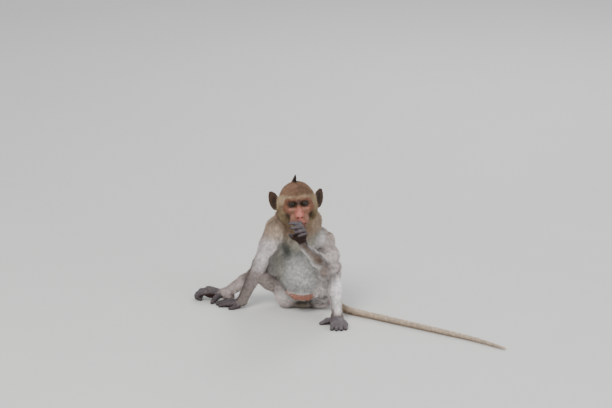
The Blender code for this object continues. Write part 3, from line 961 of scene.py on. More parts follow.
# The colour of the coat on kinds of form that don't have one of their own name.
HAIR_OF = {
    "seat": "back", "fold": "leg", "ruff": "cheek", "face": "cheek", "ear": "temple", "wrist": "forearm",
    "thigh": "leg", "shank": "leg", "ankle": "leg", "hand": "forearm", "foot": "leg", "digit": "forearm",
}
AHEAD = np.array((0, -0.951, 0.309))  # the way that the chest and the face are seen from


def by_kind(shares):
    """The share of each kind of form at each point, under the kind's name."""
    return {name: shares[:, k] for k, name in enumerate(KINDS)}


def patch(places, centre, radii, soft=0.5):
    """1 inside an ellipsoid, fading to 0 past it."""
    out = np.linalg.norm((places - np.array(centre)) / np.array(radii), axis=1)
    return 1 - rise(out, 1 - soft / 2, 1 + soft / 2)


def coat_colours(points, normals, shares):
    """The colour of the hair that grows at each point."""
    tone = settings("macaque_coat")
    table = np.array([tuple(getattr(tone, HAIR_OF.get(name, name))) for name in KINDS])
    coat = Paint(shares @ table)
    kind = by_kind(shares)
    mm = points / MM
    trunk_colours(coat, mm, normals, kind, tone)
    limb_colours(coat, mm, normals, kind, tone)
    head_colours(coat, head_place(points), tone)
    return coat.colours


def trunk_colours(coat, mm, normals, kind, tone):
    """Grey-brown back, whitish belly brightened at its front as painted light, painted shade in the right
    armpit and on the chest below the raised hand, and warmer shoulders.
    """
    x, y, z = mm.T
    trunk = kind["belly"] + kind["chest"] + kind["back"] + kind["seat"]
    rear = rise(normals[:, 1] + 0.012 * (y - 5), -0.35, 0.35)
    coat.wash(tone.back, trunk * rear)
    coat.wash(tone.belly, kind["back"] * (1 - rear) * (1 - rise(z, 120, 170)))
    flank = (1 - rear) * trunk * rise(np.abs(x + 4), 26, 46)
    coat.wash(tone.forearm, (0.75 - 0.35 * rise(-x, 20, 50)) * flank)
    # Painted light: the front of the belly, where the light falls full, is painted brighter than the belly's
    # own hair
    coat.wash(np.array(tone.belly) * 1.12, patch(mm, (-2, -62, 112), (30, 40, 44), 0.7) * trunk)
    # Painted shade in the right armpit, the hollow between the right arm and the chest
    coat.wash(tone.painted_shade, 0.85 * patch(mm, (-38, -34, 150), (16, 22, 17), 0.9) * trunk)
    # Painted shade on the chest below the raised left hand and forearm
    coat.wash(tone.painted_shade, 0.45 * patch(mm, (0, -45, 150), (26, 24, 12), 0.9) * trunk)
    coat.wash(tone.chest, 0.7 * patch(mm, (-44, -20, 112), (16, 30, 34), 0.9) * trunk)
    coat.wash(tone.back, 0.6 * (kind["neck"] + kind["ruff"]) * rise(normals[:, 1], -0.1, 0.6))
    coat.wash(tone.shoulder, kind["arm"] * rise(z, 150, 195))
    coat.wash(tone.chest, 0.2 * kind["neck"] * rise(x, 10, 30) * rise(-normals[:, 1], -0.2, 0.5))


def limb_colours(coat, mm, normals, kind, tone):
    """Whitish inner sides, painted shade under the belly's fold, on the right haunch, by the left elbow and
    on the raised forearm's front, painted light in the creases round the left arm, on the left knee and on
    the right shoulder's top, and the light edges of the raised forearm.
    """
    x, _, z = mm.T
    trunk = kind["belly"] + kind["chest"] + kind["back"] + kind["seat"]
    legs, arms = kind["thigh"] + kind["shank"], kind["arm"] + kind["forearm"]
    coat.wash(tone.back, 0.55 * (legs + arms) * rise(normals[:, 1], 0.1, 0.9))
    lap = patch(mm, (40, -34, 44), (36, 40, 52), 0.8)
    lap = np.maximum(lap, 0.5 * patch(mm, (-34, -26, 40), (24, 30, 30), 1.2))
    coat.wash(tone.inner, 0.9 * (kind["thigh"] + kind["belly"] * (z < 50)) * lap)
    coat.wash(tone.inner, 0.95 * kind["shank"] * rise(x, 20, 40) * rise(-normals[:, 1], 0.0, 0.6))
    coat.wash(tone.inner, 0.5 * kind["arm"] * rise(-normals[:, 1], 0.0, 0.8) * (1 - rise(z, 150, 185)))
    knee, haunch = patch(mm, (66, -52, 90), (26, 30, 34), 0.8), patch(mm, (-60, -6, 66), (40, 40, 34), 0.8)
    # The raised left knee is painted whitish: pale hair, brightened further as a painted highlight where the
    # knee meets the light
    coat.wash(tone.inner, 0.8 * knee * legs)
    # Painted shade on the right haunch, below the right arm
    coat.wash(tone.forearm, 0.7 * haunch * kind["thigh"])
    # Painted shadow under the belly's fold, on the belly, the thighs and the seat
    under = patch(mm, (0, -44, 33), (34, 16, 9), 0.6)
    coat.wash(tone.painted_shade, 0.85 * under * (kind["belly"] + kind["thigh"] + kind["seat"]))
    # Painted light: whitish hair laid over the shaded crease between the left arm, the neck and the chest
    coat.wash(tone.inner, 0.7 * patch(mm, (42, -34, 150), (18, 40, 44), 0.8) * (arms + trunk))
    # Painted light: lifts the shade in the crease where the left forearm meets the upper arm
    coat.wash(tone.inner, 0.7 * patch(mm, (48, -50, 131), (15, 34, 17), 0.9) * arms)
    coat.wash(tone.inner, 0.2 * patch(mm, (22, -104, 150), (13, 22, 34), 0.8) * arms)
    # Painted shade on the lower end of the left upper arm, by the elbow
    elbow = kind["arm"] * rise(x, 30, 50) * (1 - rise(z, 122, 150))
    coat.wash(tone.forearm, 0.35 * elbow)
    coat.wash(tone.neck, 0.25 * kind["arm"] * rise(x, 20, 40))
    raised = (kind["forearm"] + kind["wrist"]) * rise(x, -10, 0)
    facing = rise(np.abs(normals @ AHEAD), 0.5, 0.92)
    coat.wash(tone.inner, 0.8 * raised * (1 - facing))
    # Brown on the raised forearm's face towards the camera, partly its own hair and partly painted shade
    coat.wash(tone.neck, 0.55 * raised * facing)
    top = patch(mm, (-56, -2, 202), (28, 34, 28), 0.9) * (kind["neck"] + kind["chest"] + kind["arm"])
    top = top * (1 - 0.9 * rise(normals[:, 1], -0.1, 0.5))
    # Painted light on the top of the right shoulder, brighter than the shoulder's own hair
    coat.wash(1.15 * np.array(tone.shoulder), 0.9 * top)
    coat.wash(0.35 * np.array(tone.forearm), rise(kind["hand"] + kind["foot"], 0.3, 0.8))


def head_colours(coat, places, tone):
    """A brown cap down to the hairline, pale temples, olive cheeks, dark jaw corners, partly dark hair and
    partly painted shade where the muzzle meets the cheeks, and the dark tuft.
    """
    x, y, z = places.T
    wide = np.abs(x)
    near = rise(z, -75, -55) * rise(-y, -95, -75)
    hairline = 17.5 - 0.002 * (x - 2) ** 2 + 0.06 * np.maximum(y - 12, 0)
    hairline = np.minimum(hairline, 30 - 0.35 * np.maximum(y - 40, 0))
    cap = rise(z - hairline, -1.5, 2.5)
    pale = patch(places, (0, 10, 11), (44, 34, 14), 0.5) * (0.3 + 0.7 * rise(wide, 8, 24))
    coat.wash(tone.temple, 0.9 * pale * near)
    coat.wash(tone.cheek, 0.75 * patch(places, (0, 20, -22), (46, 44, 26), 0.6) * near)
    jaw = patch(np.column_stack((wide, y, z)), (23, -2, -27), (7, 12, 13), 0.8)
    # Dark brown hair at the jaw's corners, deepened by painted shade where the muzzle meets the cheeks
    coat.wash(tone.spike, 0.7 * jaw * near)
    coat.wash(tone.cap, cap * near * (z > 0) * (1 - rise(y, 72, 88)))
    coat.wash(tone.spike, patch(places, (-1, 33, 56), (7, 9, 17), 0.5))


def face_colours(both, tone):
    """The bare face: pink nose, brown orbits, pale bags below the eyes and dark edges of the lids, with
    painted shade round the eyes, in the line of the mouth and where the muzzle meets the cheeks.
    """
    face = Paint(np.tile(tone.face, (len(both), 1)))
    for other, share, centre, radii, soft in (
        (tone.rim, 1.0, (26, 2, -3), (9, 12, 13), 0.8),
        (tone.muzzle, 1.0, (15, -8, -32), (12, 14, 13), 0.7),
        (tone.nose, 1.0, (0, -18, -20), (9.5, 16, 14), 0.6),
        (tone.nose, 0.8, (0, -20, -38), (12, 10, 7), 0.7),
        (tone.rim, 0.5, (16, -4, -21), (6, 8, 6), 0.8),
        (tone.between, 0.8, (0, -8, 3), (6, 8, 9), 0.7),
        (tone.bag, 0.95, (14.5, -8, -9.8), (10.0, 9, 3.0), 0.8),
        (tone.rim, 0.5, (13, -9, 12.5), (16, 8, 4.0), 0.8),
        # Dark skin round the eye, with painted shade of the socket under the brow
        (tone.between, 0.9, (EYE_APART / 2, -8.5, 0.8), (12, 9, 7.6), 0.7),
        (tone.lid, 1.0, (EYE_APART / 2, -8.5, 0.6), (9.6, 9, 6.2), 0.5),
        (tone.nostril, 1.0, (4.2, -23.6, -27.4), (2.3, 4.5, 2.2), 0.5),
        # Painted shade in the line of the mouth
        (tone.lid, 0.6, (8, -20, -41.5), (14, 10, 0.9), 0.8),
        # Painted shade in the crease where the muzzle meets the cheeks
        (tone.lid, 0.5, (22.5, 0, -27), (5.5, 10, 8), 0.9),
    ):
        face.wash(other, share * patch(both, centre, radii, soft))
    return face.colours


def skin_colours(points, normals, shares, hair):
    """The colour of the skin: near the hair's under the coat, its own where it is bare, with painted light on
    the left hand and foot and painted shade under the right foot's arch.
    """
    tone = settings("macaque_skin")
    kind = by_kind(shares)
    x, y, z = head_place(points).T
    both = np.column_stack((np.abs(x), y, z))
    skin = Paint(hair * 0.62)
    skin.wash(face_colours(both, tone), rise(kind["face"] + kind["brow"], 0.25, 0.7))
    ears = Paint(np.tile(np.array(tone.ear) * 1.35, (len(points), 1)))
    ears.wash(np.array(tone.ear) * 0.75, patch(both, (48, 42, 4), (8.5, 13, 14), 0.5))
    skin.wash(ears.colours, rise(kind["ear"], 0.2, 0.6))
    bare_limbs = rise(kind["hand"] + kind["foot"] + kind["digit"], 0.2, 0.6)
    mm = points / MM
    skin.wash(tone.hand, bare_limbs)
    left_side = rise(mm[:, 0], -60, -30)
    # Painted light: the left hand and foot paler than the right, less so at the mouth
    skin.wash(tone.hand_with_painted_light, bare_limbs * left_side * (1 - 0.35 * rise(mm[:, 2], 60, 150)))
    palm = patch(mm, (-5, -120, 199), (22, 26, 21), 0.4) * rise(-normals[:, 1], -0.4, 0.3)
    sole = rise(-normals[:, 2], 0.0, 0.6) * (mm[:, 1] < 95)
    # The pad under the right foot's arch is painted dark all round: its dark sole, and painted shade under
    # the arch
    sole = np.maximum(sole, patch(mm, (-206, 43, 10), (23, 17, 11), 0.4))
    skin.wash(tone.palm, bare_limbs * np.maximum(palm, sole))
    skin.wash(tone.fold, rise(kind["fold"], 0.25, 0.7))
    return skin.colours


def four(colour):
    """Colours with the fourth value that an attribute wants."""
    return np.column_stack((np.clip(colour, 0, 1), np.ones(len(colour))))


def hair_field(places, normals, depth, lie, shares):
    """How much hair grows at each point, how deep it is and which way it lies, clear of the ground."""
    kind, coat = by_kind(shares), settings("macaque_coat")
    x, y, z = head_place(places).T
    wide = np.abs(x)
    brow = rise(z - 0.010 * x**2, 8.0, 13.0) * (z < 60) * (wide < 34) * (y > -30)
    ear_root = rise(wide, 33, 35) * (1 - rise(wide, 38, 42)) * (z > -4) * (z < 24) * rise(y, 24, 28)
    ear_root *= kind["ear"] * (1 - rise(y, 46, 52))
    backs = (kind["hand"] + kind["foot"]) * rise(normals[:, 2], 0.1, 0.7)
    cover = rise(depth, 0.25 * MM, 1.8 * MM)
    cover *= 1 - kind["brow"] * (1 - brow)
    cover = np.maximum(cover, np.maximum(brow, np.maximum(0.7 * ear_root, 0.4 * backs)))
    cover *= rise(places[:, 2], 0.5 * MM, 3 * MM)
    depth = np.maximum(depth, MM * np.maximum(1.5 * backs, np.maximum(1.2 * brow, 2.2 * ear_root)))
    clear = np.maximum(places[:, 2] - 0.6 * MM, 0)
    depth = np.minimum(depth, 0.8 * clear / np.maximum(-normals[:, 2], 0.05))
    least_rise = -clear / (coat.reach * depth + coat.least)
    lie[:, 2] = np.maximum(lie[:, 2], np.clip(least_rise + 0.4, -1, 0.25))
    return cover, depth, lie


class MACAQUE_OT_skin(bpy.types.Operator):
    """Build one skin over the whole body, with its lids, nose, mouth, ears and fingers"""

    bl_idname = "macaque.skin"
    bl_label = "Skin"

    def execute(self, context):
        body()
        skin = skin_mesh()
        mesh = skin.data
        places = corners_of(mesh)
        _, depth, shares, lie = measure(places, "all")
        normals = np.empty(len(places) * 3, np.float32)
        mesh.vertex_normals.foreach_get("vector", normals)
        normals = normals.reshape(-1, 3).astype(float)
        lie = lie - (lie * normals).sum(1)[:, None] * normals
        lie = lie / np.maximum(np.linalg.norm(lie, axis=1), 1e-6)[:, None]
        hair = coat_colours(places, normals, shares)
        cover, depth, lie = hair_field(places, normals, depth, lie, shares)
        kind = by_kind(shares)
        wrinkle = np.maximum(kind["hand"] + kind["foot"] + kind["digit"], 0.3 * kind["ear"])
        store(mesh, "wrinkle", "FLOAT", wrinkle)
        store(mesh, "depth", "FLOAT", depth)
        store(mesh, "cover", "FLOAT", cover)
        store(mesh, "lie", "FLOAT_VECTOR", lie)
        store(mesh, "coat_color", "FLOAT_COLOR", four(hair))
        store(mesh, "skin_color", "FLOAT_COLOR", four(skin_colours(places, normals, shares, hair)))
        mesh.materials.append(skin_material())
        flesh = [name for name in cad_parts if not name.startswith("eye_")]
        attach(skin, "root")
        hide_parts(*flesh)
        print("skin", len(mesh.vertices), triangles(mesh))
        return {"FINISHED"}


def skin_material():
    """Fine-grained skin, with pores and folds, darker in the folds as painted shade."""
    made, tree, shader = new_material("macaque skin")
    place = tree.place()
    cells = tree.add("ShaderNodeTexVoronoi", {"Vector": place, "Scale": 760.0}, feature="DISTANCE_TO_EDGE")
    crack = tree.ramp(cells.outputs["Distance"], 0.0, 0.2, -0.2, 0.03)
    crease_relief_and_shade = tree.math("MULTIPLY_ADD", tree.attribute("wrinkle"), crack, 1.0)
    mottle = tree.noise(place, 160.0, 4.0, Roughness=0.6)
    # Painted shade: the skin is darker in its fine creases on the hands, feet and ears; the same creases also
    # give bump
    colour = tree.shaded(tree.attribute("skin_color", "Color"), crease_relief_and_shade)
    colour = tree.shaded(colour, tree.ramp(mottle, 0.3, 0.7, 0.66, 1.22))
    pores = tree.add("ShaderNodeTexVoronoi", {"Vector": place, "Scale": 900.0, "Randomness": 1.0})
    folds = tree.noise(place, 420.0, 3.0, Distortion=1.2)
    relief = tree.bump(folds, 0.8, 0.0009)
    relief = tree.bump(pores.outputs["Distance"], 0.35, 0.0003, Normal=relief)
    relief = tree.bump(crease_relief_and_shade, 0.5, 0.0006, Normal=relief)
    tree.give(shader, {
        "Base Color": colour, "Roughness": tree.ramp(folds, 0.2, 0.8, 0.42, 0.62), "Normal": relief,
        "Specular IOR Level": 0.22, "Subsurface Weight": 0.06, "Subsurface Radius": (1.0, 0.4, 0.25),
        "Subsurface Scale": 0.003,
    })
    return made


# ---------------------------------------------------------------- the coat


def coat_material():
    """Hair that is darker at the root, paler towards the tip and speckled from tuft to tuft."""
    made, tree, shader = new_material("macaque hair")
    tone, place = tree.attribute("tone"), tree.place()
    band = tree.ramp(tree.attribute("along"), 0.0, 1.0, 0.66, 1.12)
    speck = tree.ramp(tone, 0.0, 1.0, 0.74, 1.24)
    drift = tree.ramp(tree.noise(place, 38.0, 3.0), 0.3, 0.7, 0.9, 1.1)
    lock = tree.ramp(tree.noise(place, 135.0, 2.0), 0.32, 0.68, 0.82, 1.16)
    all_four = tree.math("MULTIPLY", tree.math("MULTIPLY", band, speck), tree.math("MULTIPLY", drift, lock))
    tree.give(shader, {
        "Base Color": tree.shaded(tree.attribute("coat_color", "Color"), all_four),
        "Roughness": tree.ramp(tone, 0.0, 1.0, 0.62, 0.8), "Specular IOR Level": 0.25,
    })
    return made


STRANDS = 4  # in one tuft
TUFT_FACES = 2 * STRANDS  # a quad and a triangle each
TUFT_TRIANGLES = 3 * STRANDS


def blade(k, rng):
    """One strand of a tuft: its corners, how far each is along it, and its strip of the root map."""
    middle_strand = (STRANDS - 1) / 2
    root = np.array([(k - middle_strand) * 0.55, 0.0, 0.0]) + rng.normal(0, 0.12, 3) * [1, 0, 0.6]
    fan = (k - middle_strand) * 0.34 + rng.normal(0, 0.1)
    reach, lift = rng.uniform(0.78, 1.0), rng.uniform(0.72, 1.0)
    roll = (0.5 + k * 1.3) % math.pi
    across = np.array([math.cos(roll * 0.35), 0.18 * math.sin(roll), 0])
    middle = root + [fan * 0.45, 0.62 * lift, 0.46 * reach]
    corners = [root - across * 0.30, root + across * 0.30, middle - across * 0.24, middle + across * 0.24]
    corners.append(root + [fan, lift, reach])
    left, right = k / STRANDS, (k + 0.85) / STRANDS
    strip = [(left, 0), (right, 0), (right, 0.5), (left, 0.5)]
    strip += [(left, 0.5), (right, 0.5), ((left + right) / 2, 1)]
    return corners, [0.0, 0.0, 0.5, 0.5, 1.0], strip


def tuft_shape():
    """Strands one unit long that rise one unit and thin towards their tips, each three triangles."""
    corners, faces, along, patches = [], [], [], []
    rng = np.random.default_rng(3)
    for k in range(STRANDS):
        start = len(corners)
        faces += [(start, start + 1, start + 3, start + 2), (start + 2, start + 3, start + 4)]
        for whole, some in zip((corners, along, patches), blade(k, rng)):
            whole.extend(some)
    mesh = new_mesh("tuft shape", corners, faces)
    store(mesh, "along", "FLOAT", along)
    layer = mesh.uv_layers.new(name="patch")
    layer.data.foreach_set("uv", (np.array(patches) - 0.5).ravel())
    mesh.shade_smooth()
    return add_object("tuft shape", mesh)


PATCH = 0.003  # breadth of a tuft's share of the root map


def coat_group():
    """An empty tree with the inputs of coat_tree, named, with their defaults."""
    group = bpy.data.node_groups.new("Tufts along the lie", "GeometryNodeTree")
    group.is_modifier = True
    for name, kind, default in (
        ("Geometry", "Geometry", None), ("Density", "Float", 700000.0), ("Length", "Float", 2.0),
        ("Least length", "Float", 0.003), ("Breadth", "Float", 0.001), ("Height", "Float", 0.9),
        ("Splay", "Float", 0.3), ("Seed", "Int", 0),
        ("Tuft", "Object", None), ("Material", "Material", None),
    ):
        socket = group.interface.new_socket(name, in_out="INPUT", socket_type="NodeSocket" + kind)
        if default is not None:
            socket.default_value = default
    group.interface.new_socket("Geometry", in_out="OUTPUT", socket_type="NodeSocketGeometry")
    return group


def coat_tree():
    """Geometry Nodes that plant tufts over a piece of skin, along the lie of the coat."""
    group = coat_group()
    tree = Tree(group)
    given = tree.add("NodeGroupInput").outputs

    def named(name, kind="FLOAT"):
        made = tree.add("GeometryNodeInputNamedAttribute", {"Name": name}, data_type=kind)
        return made.outputs["Attribute"]

    def keep(geometry, name, value, kind="FLOAT", domain="POINT"):
        inputs = {"Geometry": geometry, "Name": name, "Value": value}
        return tree.add("GeometryNodeStoreNamedAttribute", inputs, data_type=kind, domain=domain).outputs[0]

    def chance(low, high, shift, kind="FLOAT"):
        """A random value for each tuft. Each shift of the seed gives other ones."""
        seed = tree.math("ADD", given["Seed"], float(shift))
        low_at, high_at, output = {"FLOAT": (2, 3, 1), "FLOAT_VECTOR": (0, 1, 0)}[kind]
        inputs = {low_at: low, high_at: high, "Seed": seed}
        return tree.add("FunctionNodeRandomValue", inputs, data_type=kind).outputs[output]

    def product(*values):
        return functools.reduce(lambda first, second: tree.math("MULTIPLY", first, second), values)

    cover, depth = named("cover"), named("depth")
    spread = tree.add(
        "GeometryNodeDistributePointsOnFaces",
        {"Mesh": given["Geometry"], "Density": product(given["Density"], cover), "Seed": given["Seed"]},
        distribute_method="RANDOM",
    )
    points = keep(spread.outputs["Points"], "out", spread.outputs["Normal"], "FLOAT_VECTOR")
    points = keep(points, "tone", chance(0.0, 1.0, 11))
    place = tree.add("GeometryNodeInputPosition").outputs[0]
    waves = tree.vector("SUBTRACT", tree.noise(place, 95.0, 1.0, "Color"), (0.5, 0.5, 0.5))
    stray = chance((-1, -1, -1), (1, 1, 1), 23, "FLOAT_VECTOR")
    stray = tree.vector("ADD", stray, tree.vector("SCALE", waves, scale=2.4))
    stray = tree.vector("SCALE", stray, scale=given["Splay"])
    way = tree.vector("NORMALIZE", tree.vector("ADD", named("lie", "FLOAT_VECTOR"), stray))
    turned = tree.add(
        "FunctionNodeAxesToRotation", {0: way, 1: named("out", "FLOAT_VECTOR")},
        primary_axis="Z", secondary_axis="Y",
    )
    long = tree.math("ADD", product(depth, given["Length"]), given["Least length"])
    long = product(long, chance(0.72, 1.18, 37))
    high = product(depth, given["Height"], chance(0.6, 1.12, 41))
    thin = tree.math("ADD", product(cover, 0.6), 0.4)
    wide = product(given["Breadth"], thin, chance(0.7, 1.2, 53))
    size = tree.add("ShaderNodeCombineXYZ", {0: wide, 1: high, 2: long}).outputs[0]
    shape = tree.add("GeometryNodeObjectInfo", {"Object": given["Tuft"]}).outputs["Geometry"]
    planted = tree.add(
        "GeometryNodeInstanceOnPoints",
        {"Points": points, "Instance": shape, "Rotation": turned.outputs[0], "Scale": size},
    )
    solid = tree.add("GeometryNodeRealizeInstances", {"Geometry": planted.outputs[0]}).outputs[0]
    rooted = tree.vector("SCALE", named("patch", "FLOAT_VECTOR"), scale=PATCH)
    rooted = tree.vector("ADD", named("root_uv", "FLOAT_VECTOR"), rooted)
    last = keep(solid, "OFBake", rooted, "FLOAT2", "CORNER")
    for name in ("root_uv", "patch", "out", "lie", "cover", "depth", "skin_color"):
        last = tree.add("GeometryNodeRemoveAttribute", {"Geometry": last, "Name": name}).outputs[0]
    dressed = tree.add("GeometryNodeSetMaterial", {"Geometry": last, "Material": given["Material"]})
    tree.add("NodeGroupOutput", {0: dressed.outputs[0]})
    return group


# Each piece of the coat: its name, and how densely its tufts stand and how small they are against the rest.
COAT_PIECES = {
    "coat_crown": (2.0, 0.62), "coat_cheeks": (2.0, 0.62), "coat_neck": (1.1, 0.9),
    "coat_chest": (1.1, 0.95), "coat_back": (0.95, 1.0), "coat_belly": (1.0, 0.9),
    "coat_arm_right": (1.25, 0.85), "coat_arm_left": (1.25, 0.85),
    "coat_leg_right": (1.1, 0.9), "coat_leg_left": (1.1, 0.9), "coat_tail": (1.3, 0.7),
}
MOST_TUFTS = 150000 // TUFT_TRIANGLES  # in one piece
AIMED_TUFTS = MOST_TUFTS * 0.975  # a little fewer, since their number is partly random


def piece_of_forms():
    """The coat piece of each node but the abdomen and the head, which are shared by two."""
    table = {"neck": "coat_neck", "chest": "coat_chest"}
    for side in ("right", "left"):
        table.update({bone + side: "coat_arm_" + side for bone in ("upper_arm_", "forearm_", "hand_")})
        table.update({bone + side: "coat_leg_" + side for bone in ("thigh_", "shank_", "foot_")})
    return table | {name: "coat_tail" for name, _ in TAIL_PARTS}


def piece_of_points(points):
    """The number of the coat piece that each point belongs to, by the form nearest to it."""
    names, table = list(COAT_PIECES), piece_of_forms()
    best, label = np.full(len(points), np.inf), np.zeros(len(points), int)
    for rows, near in blocks(points):
        here = points[rows]
        rear, high = here[:, 1] > 8 * MM, head_place(here)[:, 2] > 2
        shared = {
            "abdomen": np.where(rear, names.index("coat_back"), names.index("coat_belly")),
            "head": np.where(high, names.index("coat_crown"), names.index("coat_cheeks")),
        }
        for form in (FORMS[k] for k in near if not FORMS[k].carve):
            node = "head" if form.node.startswith("ear") else form.node
            where = shared[node] if node in shared else names.index(table[node])
            gap = distance(form, here)
            closer = gap < best[rows]
            best[rows] = np.where(closer, gap, best[rows])
            label[rows] = np.where(closer, where, label[rows])
    return label


def skin_piece(name, skin, faces):
    """A copy of some of the skin's faces, unwrapped, for tufts to grow on."""
    shape = bmesh.new()
    shape.from_mesh(skin.data)
    shape.faces.ensure_lookup_table()
    bmesh.ops.delete(shape, geom=[face for face in shape.faces if not faces[face.index]], context="FACES")
    mesh = bpy.data.meshes.new(name)
    shape.to_mesh(mesh)
    shape.free()
    piece = add_object(name, mesh)
    mesh.uv_layers.new(name="root_uv")
    only(piece)
    bpy.ops.object.mode_set(mode="EDIT")
    bpy.ops.mesh.select_all(action="SELECT")
    bpy.ops.uv.smart_project(angle_limit=math.radians(66), island_margin=0.004)
    bpy.ops.object.mode_set(mode="OBJECT")
    piece.data.calc_loop_triangles()
    return piece


def plant(name, skin, faces, number, group, tuft, finish):
    """One piece of the coat, planted on some of the skin's faces."""
    chosen = settings("macaque_coat")
    dense, small = COAT_PIECES[name]
    coat = skin_piece(name, skin, faces)
    cover = fetch(coat.data, "cover")
    area = sum(t.area * cover[list(t.vertices)].mean() for t in coat.data.loop_triangles)
    grow = coat.modifiers.new("Coat", "NODES")
    grow.node_group = group
    values = {
        "Density": min(chosen.packing * dense / MM**2, AIMED_TUFTS / max(area, 1e-9)),
        "Length": chosen.reach * small, "Least length": chosen.least * small,
        "Breadth": chosen.breadth * small, "Height": 0.92, "Splay": chosen.splay,
        "Seed": chosen.seed + number, "Tuft": tuft, "Material": finish,
    }
    for item in group.interface.items_tree:
        if item.item_type == "SOCKET" and item.in_out == "INPUT" and item.name in values:
            grow[item.identifier] = values[item.name]
    baked(coat)
    coat.data.shade_smooth()
    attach(coat, "root")
    count = len(coat.data.polygons) // TUFT_FACES
    print(name, "tufts", count, "triangles", triangles(coat.data), "area_mm2", round(area / MM**2))
    if count < 50 or count > MOST_TUFTS:
        raise RuntimeError(f"{name} has {count} tufts")


class MACAQUE_OT_coat(bpy.types.Operator):
    """Plant the coat's tufts on the skin, piece by piece"""

    bl_idname = "macaque.coat"
    bl_label = "Coat"

    def execute(self, context):
        skin = bpy.data.objects["skin"]
        corners = corners_of(skin.data)
        cover = fetch(skin.data, "cover").reshape(-1)
        label = piece_of_points(corners)
        first = np.empty(len(skin.data.polygons), int)
        covered = np.empty(len(first), bool)
        for face in skin.data.polygons:
            first[face.index] = label[face.vertices[0]]
            covered[face.index] = max(cover[k] for k in face.vertices) > 0.02
        tuft, group, finish = tuft_shape(), coat_tree(), coat_material()
        for number, name in enumerate(COAT_PIECES):
            plant(name, skin, (first == number) & covered, number, group, tuft, finish)
        bpy.data.objects.remove(tuft, do_unlink=True)
        return {"FINISHED"}


# ---------------------------------------------------------------- eyes and nails


def eye_material():
    """A wet eye: a dark pupil, an olive-brown iris with fine rays and a brownish white."""
    tone = settings("macaque_eyes")
    made, tree, shader = new_material("macaque eye")
    away = tree.attribute("from_pupil")
    inputs = {0: tree.attribute("round_pupil"), 1: tree.math("MULTIPLY", away, 0.25)}
    rays = tree.noise(tree.add("ShaderNodeCombineXYZ", inputs).outputs[0], 9.0, 3.0)
    pupil, iris = tone.pupil / MM, tone.iris / MM

    def step(start, end):
        return tree.ramp(away, start, end, 0.0, 1.0, interpolation_type="SMOOTHSTEP")

    colour = tree.blend(step(pupil, iris * 0.72), (*tone.inner_color, 1), (*tone.iris_color, 1))
    colour = tree.shaded(colour, tree.ramp(rays, 0.3, 0.7, 0.62, 1.2))
    colour = tree.blend(step(iris - 0.9, iris - 0.1), colour, (0.018, 0.013, 0.009, 1))
    colour = tree.blend(step(iris, iris + 0.8), colour, (*tone.white, 1))
    colour = tree.blend(step(pupil - 0.15, pupil + 0.15), (0.003, 0.003, 0.003, 1), colour)
    tree.give(shader, {
        "Base Color": colour, "Roughness": 0.22, "Coat Weight": 0.12, "Coat Roughness": 0.04,
        "Specular IOR Level": 0.2,
    })
    return made


EYE_RINGS, EYE_SPOKES = 56, 64
EYE_FRONT = 1.5  # radians from the pupil, as far as the eye's marks are measured
CORNEA_RADIUS, CORNEA_RISE = 5.6, 0.55


def eyeball(name):
    """A ball round the middle of a CAD eye that looks ahead, with the cornea's bulge over the iris."""
    low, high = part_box(name)
    centre = np.array((low + high) / 2)
    gaze = unit(GAZE_AT - centre)
    gaze = unit(gaze + 0.35 * (HEAD_TURN @ np.array((0, -1, 0.0))))
    side = unit(np.cross((0, 0, 1), gaze))
    axes = np.column_stack((side, np.cross(gaze, side), gaze))
    corners, away, around = [], [], []
    for i in range(EYE_RINGS + 1):
        angle = math.pi * i / EYE_RINGS
        front = angle < EYE_FRONT
        across = EYE_RADIUS * math.sin(min(angle, EYE_FRONT)) / CORNEA_RADIUS
        bulge = CORNEA_RISE * max(0.0, 1 - across**2) if front else 0
        for j in range(EYE_SPOKES):
            turned = 2 * math.pi * j / EYE_SPOKES
            flat = math.sin(angle)
            ray = np.array((flat * math.cos(turned), flat * math.sin(turned), math.cos(angle)))
            corners.append(centre + axes @ ray * (EYE_RADIUS - 0.1 + bulge) * MM)
            away.append(EYE_RADIUS * (flat if front else 1))
            around.append(abs(turned - math.pi))
    faces = []
    for i in range(EYE_RINGS):
        for j in range(EYE_SPOKES):
            a, b = i * EYE_SPOKES + j, i * EYE_SPOKES + (j + 1) % EYE_SPOKES
            faces.append((a, a + EYE_SPOKES, b + EYE_SPOKES, b))
    mesh = new_mesh(name + "ball", corners, faces)
    store(mesh, "from_pupil", "FLOAT", away)
    store(mesh, "round_pupil", "FLOAT", around)
    shape = bmesh.new()
    shape.from_mesh(mesh)
    bmesh.ops.remove_doubles(shape, verts=shape.verts, dist=1e-7)
    bmesh.ops.recalc_face_normals(shape, faces=shape.faces)
    shape.to_mesh(mesh)
    shape.free()
    mesh.shade_smooth()
    return mesh


class MACAQUE_OT_eyes(bpy.types.Operator):
    """Build both eyeballs, with a raised cornea, looking ahead"""

    bl_idname = "macaque.eyes"
    bl_label = "Eyes"

    def execute(self, context):
        finish = eye_material()
        for name in ("eye_right", "eye_left"):
            eye = add_object(name + "ball", eyeball(name))
            eye.data.materials.append(finish)
            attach(eye, "root")
            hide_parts(name)
        return {"FINISHED"}


def nail_material():
    """Dark horn, a little mottled."""
    made, tree, shader = new_material("macaque nail")
    grain = tree.noise(tree.place(), 700.0, 2.0)
    tone = settings("macaque_eyes").nail
    tree.give(shader, {
        "Base Color": tree.blend(grain, (*(0.55 * part for part in tone), 1), (*tone, 1)),
        "Roughness": tree.ramp(grain, 0.0, 1.0, 0.3, 0.5),
    })
    return made


